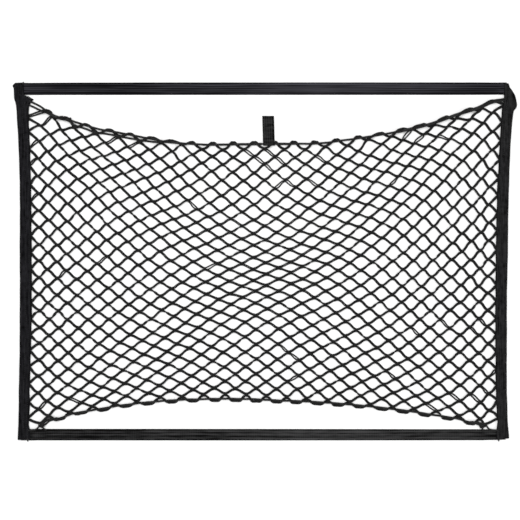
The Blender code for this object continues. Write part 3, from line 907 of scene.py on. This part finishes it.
        # distances are measured from the cord's side: 2.7 stands for its edge
        off = np.sign(off) * np.where(np.abs(off) < edge_at, np.abs(off) * 2.7 / edge_at, np.abs(off) - edge_at + 2.7)
        lean = ease(1.0 - np.abs(off - 3.3) / 1.8)
        flat_turn = np.round(angle / math.pi) * math.pi
        sign = -1.0 if w == ROW_TOP else 1.0
        leaning = flat_turn + sign * 0.95
        beneath = ease((5.2 - np.abs(off + 0.4)) / 2.2) * (1.0 - before)
        angle = angle * (1 - lean) + leaning * lean
        angle = angle * (1 - beneath) + flat_turn * beneath
        top_of = z[reach] + CORD_R + stack_height(table, doubled, line[reach][:, 0])
        hump = np.interp(off, [-8.5, -2.8, 0.0, 2.3, 4.6], [0.0, 0.9, 1.0, 0.9, 0.0])
        over = before * hump * top_of
        lift = lift * (1 - np.clip(lean + beneath, 0, 1))
    base = YARN_R + spread * np.sqrt(np.sin(angle) ** 2 + 1e-4) + lift
    height = base + over
    fold_height = TAPE_T + YARN_R + spread * np.abs(np.sin(angle))
    height = height * (1 - fold) + fold_height * fold
    first = np.concatenate([centre, height[:, None]], axis=1)
    vector = np.concatenate([side * (spread * np.cos(angle))[:, None], (spread * np.sin(angle))[:, None]], axis=1)
    result = []
    for sign in (1.0, -1.0):
        path = first + sign * vector
        path[:, 2] = np.maximum(path[:, 2], YARN_R * 1.20)
        # the ends go on into the fold
        start = path[0] + np.array([[-5.0, 0, 0], [-2.5, 0, 0]]) - np.array([0, 0, path[0][2] - (TAPE_T + YARN_R)])
        stop = path[-1] + np.array([[2.5, 0, 0], [5.0, 0, 0]]) - np.array([0, 0, path[-1][2] - (TAPE_T + YARN_R)])
        loose = 1.0 + 0.10 * ease((spread - PAIR - 0.15) / 0.3)
        loose = np.concatenate([loose[:1], loose[:1], loose, loose[-1:], loose[-1:]])
        result.append((np.concatenate([start, path, stop]), loose))
    return result


GROUPS = ((-17, -8), (-7, 1), (2, 10), (11, 20))
net_area = 0.0
for number, (low, high) in enumerate(GROUPS, start=1):
    builder = Builder()
    for w in range(low, high + 1):
        rand = np.random.default_rng(500 + w)
        for yarn, (path, loose) in enumerate(wale_paths(w, rand)):
            stretched = np.exp(-(path[:, 0] / 230.0) ** 2 - ((path[:, 1] - 20.0) / 170.0) ** 2)
            near = ease((np.abs(path[:, 0]) - 300.0) / 110.0)
            size = YARN_R * loose * (1.02 - 0.13 * stretched + 0.13 * near + 0.05 * np.convolve(rand.normal(0, 1, len(path) + 4), np.ones(5) / 5, "valid"))
            if w == ROW_TOP:
                # slack and full along the top cord
                by_cord = np.array([np.linalg.norm(top_line - q[None, :2], axis=1).min() for q in path])
                size = size * (1.0 + 0.12 * ease((8.0 - by_cord) / 4.0))
            for x, y, reach, fuller in BUNCHES:
                gone = np.hypot(path[:, 0] - x, path[:, 1] - y) / reach
                size = size * (1.0 + fuller * np.exp(-gone**2))
            path[:, 2] = np.maximum(path[:, 2], size + 0.04)
            tube(builder, path, size, SIDES, phase=37.0 * w + 11.0 * yarn)
    if low == ROW_TOP:
        for x, wide in WRAPS:
            k = int(np.abs(top_line[:, 0] - x).argmin())
            reach = spread_at(TOP_SPREAD, x) + CORD_R
            turn = np.linspace(0.0, math.pi, 15)
            over_z = top_z[k] + stack_height(TOP_SPREAD, TOP_DOUBLED, x)
            off = -reach * 0.9 + (reach * 1.9 + 1.6) * np.sin(turn)
            flat = (top_line[k][None, :] + top_out[k][None, :] * off[:, None]
                    + top_run[k][None, :] * (wide * np.linspace(-1.0, 1.0, 15))[:, None])
            z = over_z + (CORD_R + YARN_R) * np.clip(np.linspace(1.6, -1.6, 15), -1.0, 1.0) * 0.98
            builder_path = np.concatenate([flat, np.maximum(z, YARN_R * 1.1)[:, None]], axis=1)
            tube(builder, builder_path, YARN_R * 1.15, SIDES, taper=1.2)
    piece = builder.make("net_mesh_%d" % number, [yarn_mat], "net_yarn")
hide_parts("net_panel")


# ------------------------------------------------------------------ cord pieces
END_COLUMNS = ("x", "y", "z")
# where each end of the top cord goes on into its side fold
TOP_LEFT_IN = ((-425.0, 287.0, 2.6), (-431.0, 290.4, 2.5))
TOP_RIGHT_IN = ((431.5, 292.3, 2.6), (437.0, 293.4, 2.5))
# the knots of the bottom cord: middle, the way they point and their turns
KNOT_COLUMNS = ("x", "y", "to_x", "to_y", "turns")
LEFT_KNOT = (-400.6, -292.6, -0.70, -0.71, 2.6)
RIGHT_KNOT = (390.6, -293.4, 0.50, -0.87, 2.6)
KNOT_R = 1.55         # the cord, drawn tight in a knot
KNOT_WIDE, KNOT_HIGH, KNOT_Z = 3.7, 2.35, 3.95
# the two tails of each knot
LEFT_TAIL_IN = (
    (-406.3, -295.7, 3.3), (-408.7, -298.9, 3.3), (-412.5, -301.2, 3.6), (-417.5, -302.0, 4.1), (-422.0, -302.3, 3.4),
    (-427.0, -302.4, 2.6),
)
LEFT_TAIL_DOWN = ((-399.4, -297.2, 3.3), (-396.2, -300.0, 3.3), (-392.6, -302.6, 3.2))
RIGHT_TAIL_IN = (
    (398.6, -294.3, 3.3), (401.0, -297.8, 3.3), (404.2, -300.6, 3.6), (409.6, -301.8, 4.1), (414.9, -302.1, 3.5),
    (421.0, -302.2, 2.6),
)
RIGHT_TAIL_DOWN = ((391.2, -298.6, 3.3), (391.9, -301.6, 3.3), (392.4, -304.6, 3.2))


def doubled_cord(line, out, z, table, doubled):
    """The cord itself, then its doubled length at the left and at the right."""
    half = np.interp(line[:, 0], column(table, SPREAD_COLUMNS, "x"), column(table, SPREAD_COLUMNS, "half"))
    s = np.arange(len(line), dtype=float)
    wander = 0.16 * np.sin(s / 23.0 + 0.7) + 0.10 * np.sin(s / 11.0)
    step = 2.0 * np.sqrt(np.maximum((CORD_R * 1.01) ** 2 - half**2, 0.0))
    cord = np.concatenate([line + out * (half + wander)[:, None], z[:, None]], axis=1)
    other = np.concatenate([line + out * (wander - half)[:, None], (z + step)[:, None]], axis=1)
    return cord, other[line[:, 0] < doubled[0]], other[line[:, 0] > doubled[1]]


def rounded(path, step=1.8):
    return smooth_line(path, step)


def knot_turns(knot, first):
    """A coil round the knot's middle, from its cord side to its tail side."""
    x, y, ax, ay, turns = knot
    axis = unit(np.array([ax, ay]))
    across = np.array([-axis[1], axis[0]])
    turn = np.linspace(0.0, 2 * math.pi * turns, int(12 * turns))
    along = (turn / turn[-1] - 0.5) * 2 * KNOT_R * 1.06 * turns
    swell = 1.0 + 0.10 * np.cos((turn / turn[-1] - 0.5) * math.pi)
    flat = (np.array([x, y])[None, :] + axis[None, :] * along[:, None]
            + across[None, :] * (first * KNOT_WIDE * swell * np.cos(turn))[:, None])
    return np.concatenate([flat, (KNOT_Z + KNOT_HIGH * np.sin(turn))[:, None]], axis=1)


def knot_core(knot):
    x, y, ax, ay, turns = knot
    axis = unit(np.array([ax, ay]))
    reach = np.array([-4.2, 0.0, 4.2])[:, None]
    return np.concatenate([np.array([x, y])[None, :] + axis[None, :] * reach, np.full((3, 1), KNOT_Z)], axis=1)


def cord_piece(name, node, paths):
    builder = Builder()
    for i, path in enumerate(paths):
        away = np.abs(path[:, 0])
        # drawn tight in the knots, the tails and inside the side folds
        tight = ease((away - 386.0) / 5.0) if node == "bottom_edge_cord" else ease((away - 418.0) / 5.0)
        if node == "top_edge_cord":
            # and squeezed where the tab is sewn round it
            tight = np.maximum(tight, ease((TAB_HALF + 4.0 - np.abs(path[:, 0] - TAB_X)) / 4.0))
        radius = CORD_R + (KNOT_R - CORD_R) * tight
        if node == "top_edge_cord":
            # slacker, so thicker, in the middle
            slack = (0.22 * ease((95.0 - np.abs(path[:, 0] + 25.0)) / 20.0) + 0.22 * ease((48.0 - np.abs(path[:, 0] + 5.0)) / 12.0))
            radius = radius + slack * (1.0 - tight)
        path[:, 2] = np.maximum(path[:, 2], radius + 0.03)
        tube(builder, path, radius, 12, phase=5.0 * i, taper=1.6)
    piece = builder.make(name, [cord_mat], "edge_cord")
    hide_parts(node)
    return piece


def with_ends(path, before=(), after=(), trim=(0, 0)):
    body = path[trim[0]:len(path) - trim[1]][::2]
    parts = [np.array(before, dtype=float).reshape(-1, 3), body, np.array(after, dtype=float).reshape(-1, 3)]
    return rounded(np.concatenate(parts))


cord, left_half, right_half = doubled_cord(top_line, top_out, top_z, TOP_SPREAD, TOP_DOUBLED)
for path in (cord, left_half, right_half):
    path[:, 2] = np.where(path[:, 0] < -414, np.maximum(path[:, 2], TAPE_T + CORD_R * 0.9), path[:, 2])
    path[:, 2] = np.where(path[:, 0] > 424, np.maximum(path[:, 2], TAPE_T + CORD_R * 0.9), path[:, 2])


def shifted(points, x, y):
    return [(p[0] + x, p[1] + y, p[2]) for p in points]


top_cord = cord_piece("top_cord_strands", "top_edge_cord", [
    with_ends(cord, shifted(TOP_LEFT_IN, 1.6, 3.0)[::-1], shifted(TOP_RIGHT_IN, -0.4, 1.6)),
    with_ends(left_half, shifted(TOP_LEFT_IN, -1.6, -3.0)[::-1]),
    with_ends(right_half, (), shifted(TOP_RIGHT_IN, 0.6, -1.6)),
])

cord, left_half, right_half = doubled_cord(bottom_line, bottom_out, bottom_z, BOTTOM_SPREAD, BOTTOM_DOUBLED)
left_turns, right_turns = knot_turns(LEFT_KNOT, 1.0), knot_turns(RIGHT_KNOT, -1.0)
bottom_cord = cord_piece("bottom_cord_strands", "bottom_edge_cord", [
    with_ends(cord, np.concatenate([np.array(LEFT_TAIL_DOWN)[::-1], left_turns[::-1]]),
              np.concatenate([right_turns, np.array(RIGHT_TAIL_IN)]), (11, 9)),
    with_ends(left_half, np.concatenate([np.array(LEFT_TAIL_IN)[::-1], knot_core(LEFT_KNOT)[::-1]]), (), (11, 0)),
    with_ends(right_half, (), np.concatenate([knot_core(RIGHT_KNOT), np.array(RIGHT_TAIL_DOWN)]), (0, 9)),
])


# -------------------------------------------------------------------- webbings
def rib_height(v, width, centres, rib_width):
    """Height of the ribs across a webbing, 0 to 1, v from its outer edge."""
    h = np.zeros_like(v)
    for c in centres:
        h = np.maximum(h, np.clip(1.0 - ((v - c) / (0.62 * rib_width)) ** 2, 0.0, 1.0))
    return h


def woven_band(name, stations, edges, heights, thickness, centres, rib_width, mat, slot, rib=0.22, pick=0.0,
               pick_pitch=3.2, width_steps=34, rand=None, direction="x"):
    """A webbing: cross-sections along its length, ribs on both faces."""
    builder = Builder()
    rings, lays = [], []
    v = np.linspace(0.0, 1.0, width_steps)
    for i, s in enumerate(stations):
        outer, inner = edges[i]
        width = np.linalg.norm(np.asarray(outer) - np.asarray(inner))
        across = v * width
        rise_here = rib * rib_height(across, width, centres, rib_width)
        edge_round = np.minimum(across, width - across)
        crown = thickness / 2 - 0.42 * (1.0 - np.clip(edge_round / 0.9, 0.0, 1.0)) ** 2
        weave = pick * 0.5 * math.sin(2 * math.pi * s / pick_pitch) if pick else 0.0
        hi = heights[i] + thickness / 2 + crown - 0.5 * rib + rise_here + weave * (edge_round > 1.2)
        lo = heights[i] + thickness / 2 - crown + 0.3 * rib - 0.3 * rise_here
        p_out, p_in = np.asarray(outer, dtype=float), np.asarray(inner, dtype=float)
        flat = p_out[None, :] + (p_in - p_out)[None, :] * v[:, None]
        top = np.concatenate([flat, hi[:, None]], axis=1)
        bottom = np.concatenate([flat, lo[:, None]], axis=1)[::-1]
        rings.append(np.concatenate([top, bottom[::2]]))
        lay_top = np.stack([np.full(len(v), s), across, np.ones(len(v))], axis=1)
        lay_bottom = np.stack([np.full(len(v), s), across, np.zeros(len(v))], axis=1)[::-1][::2]
        lays.append(np.concatenate([lay_top, lay_bottom]) * MM)
    rings, lays = np.array(rings), np.array(lays)
    builder.grid(rings, lays)
    return builder, rings


def webbing_piece(name, table, side, centres, rib_width, mat, step, pick, pick_pitch, seed, proud):
    x = column(table, WEBBING_COLUMNS, "x")
    count = int((x[-1] - x[0]) / step)
    stations = np.linspace(x[0], x[-1], count)
    outer = np.interp(stations, x, column(table, WEBBING_COLUMNS, "outer_y"))
    inner = np.interp(stations, x, column(table, WEBBING_COLUMNS, "inner_y"))
    local = np.random.default_rng(seed)
    waves = sum(a * np.sin(stations / p + q) for a, p, q in zip((0.18, 0.12, 0.08), (61.0, 29.0, 13.0), local.uniform(0, 6, 3)))
    outer = outer - side * (np.abs(waves) * 0.3 - proud[0])
    inner = inner + side * (np.abs(waves[::-1]) * 0.3 - proud[1])
    heights = rise(stations, 0.5 * (outer + inner))
    edges = [((s, o), (s, i)) for s, o, i in zip(stations, outer, inner)]
    builder, rings = woven_band(name, stations, edges, heights, WEBBING_T, centres, rib_width, mat, "webbing",
                                pick=pick, pick_pitch=pick_pitch)
    if side < 0:
        builder.faces = [f[::-1] for f in builder.faces]
    piece = builder.make(name + "_band", [mat], "webbing")
    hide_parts(name)
    return piece


top_web = webbing_piece("top_webbing", TOP_WEBBING, 1.0, (3.8, 8.7, 12.5, 16.1), 3.6, top_web_mat, 3.0, 0.0, 3.2, 5, (0.25, 0.45))
bottom_web = webbing_piece("bottom_webbing", BOTTOM_WEBBING, -1.0, (3.8, 10.6, 15.8), 4.0, bottom_web_mat, 0.85, 0.16, 3.3, 6, (0.25, 0.30))


# -------------------------------------------------------------------- bindings
UPPER_STEPS = 17      # points across one layer of a folded tape


def binding_piece(name, table, mat, sign, marks, rows_at, seed):
    """Tape folded lengthwise, its upper layer lying on what it holds."""
    fy = column(table, BINDING_COLUMNS, "fold_y")
    oy = column(table, BINDING_COLUMNS, "open_y")
    middle = 0.5 * (fy + oy)
    at = np.linspace(middle[0], middle[-1], 300)
    at = at[np.abs(at[:, None] - middle[None, :]).min(axis=1) > 0.4]
    at = np.sort(np.concatenate([at, middle]))[::-1]
    knots = -middle
    q = -at
    fold_x, fold_y = table_curve(table, BINDING_COLUMNS, "fold_x", "fold_y", q, knots)
    open_x, open_y = (np.interp(q, knots, column(table, BINDING_COLUMNS, name)) for name in ("open_x", "open_y"))
    local = np.random.default_rng(seed)
    puff = np.zeros(len(at))
    for m in marks:
        puff = np.maximum(puff, np.exp(-((at - m) / 5.5) ** 2))
    # the corners hold the webbings, so the tape stays up there
    held = np.maximum(ease((at - 262.0) / 14.0), ease((-277.0 - at) / 12.0))
    puff = np.maximum(puff, held)
    open_x = open_x + sign * (0.55 * puff - 0.25) * (1 - held) + 0.22 * np.sin(at / 9.0 + local.uniform(0, 6))
    fold_x = fold_x + 0.16 * np.sin(at / 21.0 + local.uniform(0, 6)) + 0.10 * np.sin(at / 7.0)
    share = np.linspace(0.0, 1.0, UPPER_STEPS)
    rings, lays = [], []
    for i in range(len(at)):
        f, o = np.array([fold_x[i], fold_y[i]]), np.array([open_x[i], open_y[i]])
        width = np.linalg.norm(o - f)
        u = (o - f) / width
        # heights of the upper layer's top face, from the fold to the open edge
        d = 1.3 + (width - 1.3) * share
        sag = 0.75 * (1.0 - puff[i]) * ease((d - 3.0) / 5.0)
        groove = sum(0.22 * np.exp(-((width - d - back) / 0.9) ** 2) for back in rows_at)
        crown = 0.12 * np.sin(np.clip(d / width, 0, 1) * math.pi)
        upper = FOLD_H + crown - sag - groove + 0.06 * np.sin(at[i] / 5.0 + d)
        outside, inside = [], []
        outside += [(f + u * x, 0.0) for x in (width, width * 0.66, width * 0.33, 1.3)]
        outside += [(f + u * 0.4, 0.35), (f, 1.3), (f, FOLD_H - 1.3), (f + u * 0.4, FOLD_H - 0.4)]
        outside += [(f + u * x, z) for x, z in zip(d, upper)]
        # rounded cut edge, then back along the inside
        inside += [(f + u * x, z - TAPE_T * 0.92) for x, z in zip(d[::-1], upper[::-1])]
        inside += [(f + u * 1.05, FOLD_H - TAPE_T - 0.1), (f + u * TAPE_T, FOLD_H - 1.3), (f + u * TAPE_T, 1.3),
                   (f + u * 1.05, TAPE_T + 0.08), (f + u * 1.3, TAPE_T)]
        inside += [(f + u * x, TAPE_T) for x in (width * 0.33, width * 0.66, width)]
        ring = [(*p, z) for p, z in outside + inside]
        lay = [(at[i], float(np.linalg.norm(np.array(p) - f)), float(np.linalg.norm(np.array(p) - f)) / width / MM)
               for p, z in outside + inside]
        rings.append(ring)
        lays.append(lay)
    rings = np.array(rings)
    lays = np.array(lays) * MM
    builder = Builder()
    builder.grid(rings, lays)
    if sign > 0:
        builder.faces = [f[::-1] for f in builder.faces]
    piece = builder.make(name + "_tape", [mat], "binding", sharp=50)
    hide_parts(name)
    guide = (at, np.stack([fold_x, fold_y], 1), np.stack([open_x, open_y], 1), puff)
    return piece, guide


def layer_height(guide, i, back):
    at, f, o, puff = guide
    width = np.linalg.norm(o[i] - f[i])
    d = width - back
    return FOLD_H + 0.12 * math.sin(math.pi * d / width) - 0.75 * (1.0 - puff[i]) * float(ease((d - 3.0) / 5.0)) - 0.22


left_marks = [junction[(0, r)][1] for r in range(-16, 21, 2)]
right_marks = [junction[(LAST, r)][1] for r in range(-16, 21, 2)]
LEFT_ROWS = (4.2, 10.2)
RIGHT_ROWS = (3.2, 7.8)
left_tape, left_guide = binding_piece("left_binding", LEFT_BINDING, left_tape_mat, 1.0, left_marks, LEFT_ROWS, 21)
right_tape, right_guide = binding_piece("right_binding", RIGHT_BINDING, right_tape_mat, -1.0, right_marks, RIGHT_ROWS, 22)


# -------------------------------------------------------------------- stitches
def stitch(builder, a, b, sink=0.12, radius=THREAD_R):
    """One stitch: a short thread that dips into the cloth at both ends."""
    a, b = np.asarray(a, float), np.asarray(b, float)
    t = np.linspace(0.0, 1.0, 6)
    path = a[None, :] + (b - a)[None, :] * t[:, None]
    path[:, 2] += radius * 0.55 - (radius * 1.5 + sink) * np.abs(2 * t - 1) ** 4
    tube(builder, path, radius, 6)


def binding_stitches(name, guide, rows_at, sign, seed, lumps):
    at, f, o, puff = guide
    builder = Builder()
    local = np.random.default_rng(seed)
    for row_number, back in enumerate(rows_at):
        position = at[0] - 3.0
        while position > at[-1] + 4.0:
            length = local.uniform(2.5, 3.1)
            ends = []
            for y in (position, position - length):
                i = int(np.clip(np.searchsorted(-at, -y), 0, len(at) - 1))
                u = unit(o[i] - f[i])
                sway = 0.55 * math.sin(y / 13.0 + row_number) + 0.3 * math.sin(y / 5.1)
                p = o[i] - u * (back + sway)
                ends.append((p[0], y, layer_height(guide, i, back)))
            stitch(builder, ends[0], ends[1])
            position -= length + 0.7
    # the seam's ends are locked off in small lumps at the tape's cut ends
    for x, y, way in lumps:
        tube(builder, [(x, y - 3.4 * way, FOLD_H + 0.2), (x, y - 1.6 * way, FOLD_H - 0.2), (x + 0.2, y, 2.9), (x + 0.3, y + 1.5 * way, 1.9)],
             [0.9, 1.25, 1.3, 1.0], 10)
    piece = builder.make(name, [thread_mat], "binding")
    return piece


left_seam = binding_stitches("left_binding_seam", left_guide, LEFT_ROWS, 1.0, 31, ((-426.3, -320.6, -1.0), (-434.4, 322.2, 1.0)))
right_seam = binding_stitches("right_binding_seam", right_guide, RIGHT_ROWS, -1.0, 32, ((420.4, -320.4, -1.0),))


# -------------------------------------------------------------------- pull tab
def tab_path():
    k = nearest(top_line, (TAB_X, 213.5))
    cord_y = float(top_line[k][1])
    cord_z = TAB_EYE + TAB_T / 2
    drop = cord_z + TAB_EYE - (TAB_T * 1.5 + CLEAR)
    turn = math.acos(1.0 - drop / (TAB_EYE + TAB_BEND))
    path = []
    for y in np.linspace(TAB_TOP, cord_y + 4.0, 26):
        path.append((y, TAB_T / 2, 0.0, -1.0))
    for a in np.linspace(-math.pi / 2, -math.pi / 2 - math.pi - turn, 30):
        path.append((cord_y + TAB_EYE * math.cos(a), cord_z + TAB_EYE * math.sin(a), math.cos(a), math.sin(a)))
    end_y = cord_y + (TAB_EYE + TAB_BEND) * math.sin(turn)
    end_z = TAB_T * 1.5 + CLEAR
    for a in np.linspace(turn, 0.0, 9)[1:]:
        path.append((end_y - TAB_BEND * math.sin(a), end_z + TAB_BEND * (1.0 - math.cos(a)), math.sin(a), math.cos(a)))
    for y in np.linspace(end_y, TAB_TOP - 0.6, 26)[1:]:
        path.append((y, end_z, 0.0, 1.0))
    return path, cord_y, end_z


def tab_piece():
    path, cord_y, end_z = tab_path()
    builder = Builder()
    rings, lays = [], []
    steps = 26
    v = np.linspace(0.0, 1.0, steps)
    centres = (4.2, 8.2, 12.2, 16.2)
    run = 0.0
    last = None
    for y, z, ny, nz in path:
        if last is not None:
            run += math.hypot(y - last[0], z - last[1])
        last = (y, z)
        lean = TAB_LEAN * (TAB_TOP - y) / (TAB_TOP - cord_y) - TAB_LEAN / 2
        across = v * 2 * TAB_HALF
        edge_round = np.minimum(across, 2 * TAB_HALF - across)
        half = TAB_T / 2 - 0.30 * (1.0 - np.clip(edge_round / 0.8, 0.0, 1.0)) ** 2
        ribs = (0.11 + 0.03 * nz) * rib_height(across, 2 * TAB_HALF, centres, 3.6)
        x = TAB_X - TAB_HALF + lean + across
        out = np.stack([x, y + ny * (half - 0.08 + ribs), z + nz * (half - 0.08 + ribs)], axis=1)
        inn = np.stack([x, y - ny * half, z - nz * half], axis=1)[::-1][::2]
        rings.append(np.concatenate([out, inn]))
        lay_out = np.stack([np.full(steps, run), across, np.ones(steps)], axis=1)
        lays.append(np.concatenate([lay_out, lay_out[::-1][::2]]) * MM)
    builder.grid(np.array(rings), np.array(lays))
    piece = builder.make("pull_tab_cloth", [tab_web_mat], "webbing", sharp=60)
    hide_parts("pull_tab")
    return piece, cord_y, end_z


tab, tab_cord_y, tab_z = tab_piece()


def tab_stitches():
    """A bar of short stitches across the tab, just above the cord."""
    builder = Builder()
    local = np.random.default_rng(41)
    top = tab_z + TAB_T / 2
    y = 227.3
    lean = TAB_LEAN * (TAB_TOP - y) / (TAB_TOP - tab_cord_y) - TAB_LEAN / 2
    for shift in (0.0, 1.5):
        x = TAB_X - TAB_HALF + lean + 1.2
        while x < TAB_X + TAB_HALF + lean - 3.0:
            length = local.uniform(2.0, 2.5)
            stitch(builder, (x, y + shift, top), (x + length, y + shift + local.normal(0, 0.15), top), radius=0.28)
            x += length + 0.5
    return builder.make("pull_tab_seam", [thread_mat], "webbing")


tab_seam = tab_stitches()


# ------------------------------------------------------- floor, light, camera
def floor():
    mesh = bpy.data.meshes.new("floor")
    r = 6.0
    mesh.from_pydata([(-r, -r, 0), (r, -r, 0), (r, r, 0), (-r, r, 0)], [], [(0, 1, 2, 3)])
    obj = bpy.data.objects.new("floor", mesh)
    bpy.context.scene.collection.objects.link(obj)
    n = Nodes("floor_white")
    soft = n.noise(3.0, 2.0, 0.5)
    n.colour(soft, (0.96, 0.96, 0.96), (0.98, 0.98, 0.98))
    n.shader.inputs["Roughness"].default_value = 0.9
    n.shader.inputs["Specular IOR Level"].default_value = 0.2
    mesh.materials.append(n.mat)
    obj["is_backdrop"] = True


def area_light(name, place, aim, size, power):
    data = bpy.data.lights.new(name, "AREA")
    data.shape = "RECTANGLE"
    data.size = size[0]
    data.size_y = size[1]
    data.energy = power
    obj = bpy.data.objects.new(name, data)
    obj.location = place
    from mathutils import Vector
    direction = Vector(aim) - Vector(place)
    obj.rotation_euler = direction.to_track_quat("-Z", "Y").to_euler()
    bpy.context.scene.collection.objects.link(obj)


floor()
area_light("overhead_softbox", (-0.5, 0.6, 3.4), (0, 0, 0), (3.0, 3.0), 90.0)
area_light("side_softbox", (2.6, -1.4, 2.4), (0, 0, 0), (1.6, 1.6), 25.0)

world = bpy.data.worlds.new("studio")
bpy.context.scene.world = world
world.use_nodes = True
world.node_tree.nodes["Background"].inputs[0].default_value = (1.0, 1.0, 1.0, 1.0)
world.node_tree.nodes["Background"].inputs[1].default_value = 0.55

camera_data = bpy.data.cameras.new("camera")
camera_data.lens = 85.0
camera_data.sensor_width = 36.0
camera_data.clip_end = 50.0
camera = bpy.data.objects.new("camera", camera_data)
camera.location = (-0.00855, 0.00238, 2.21)
camera.rotation_euler = (0.0, 0.0, 0.0)
bpy.context.scene.collection.objects.link(camera)
bpy.context.scene.camera = camera

bpy.context.scene.view_settings.view_transform = "Standard"
bpy.context.scene.view_settings.look = "None"
bpy.context.scene.view_settings.exposure = 0.0
bpy.context.scene.view_settings.gamma = 1.0

low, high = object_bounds()
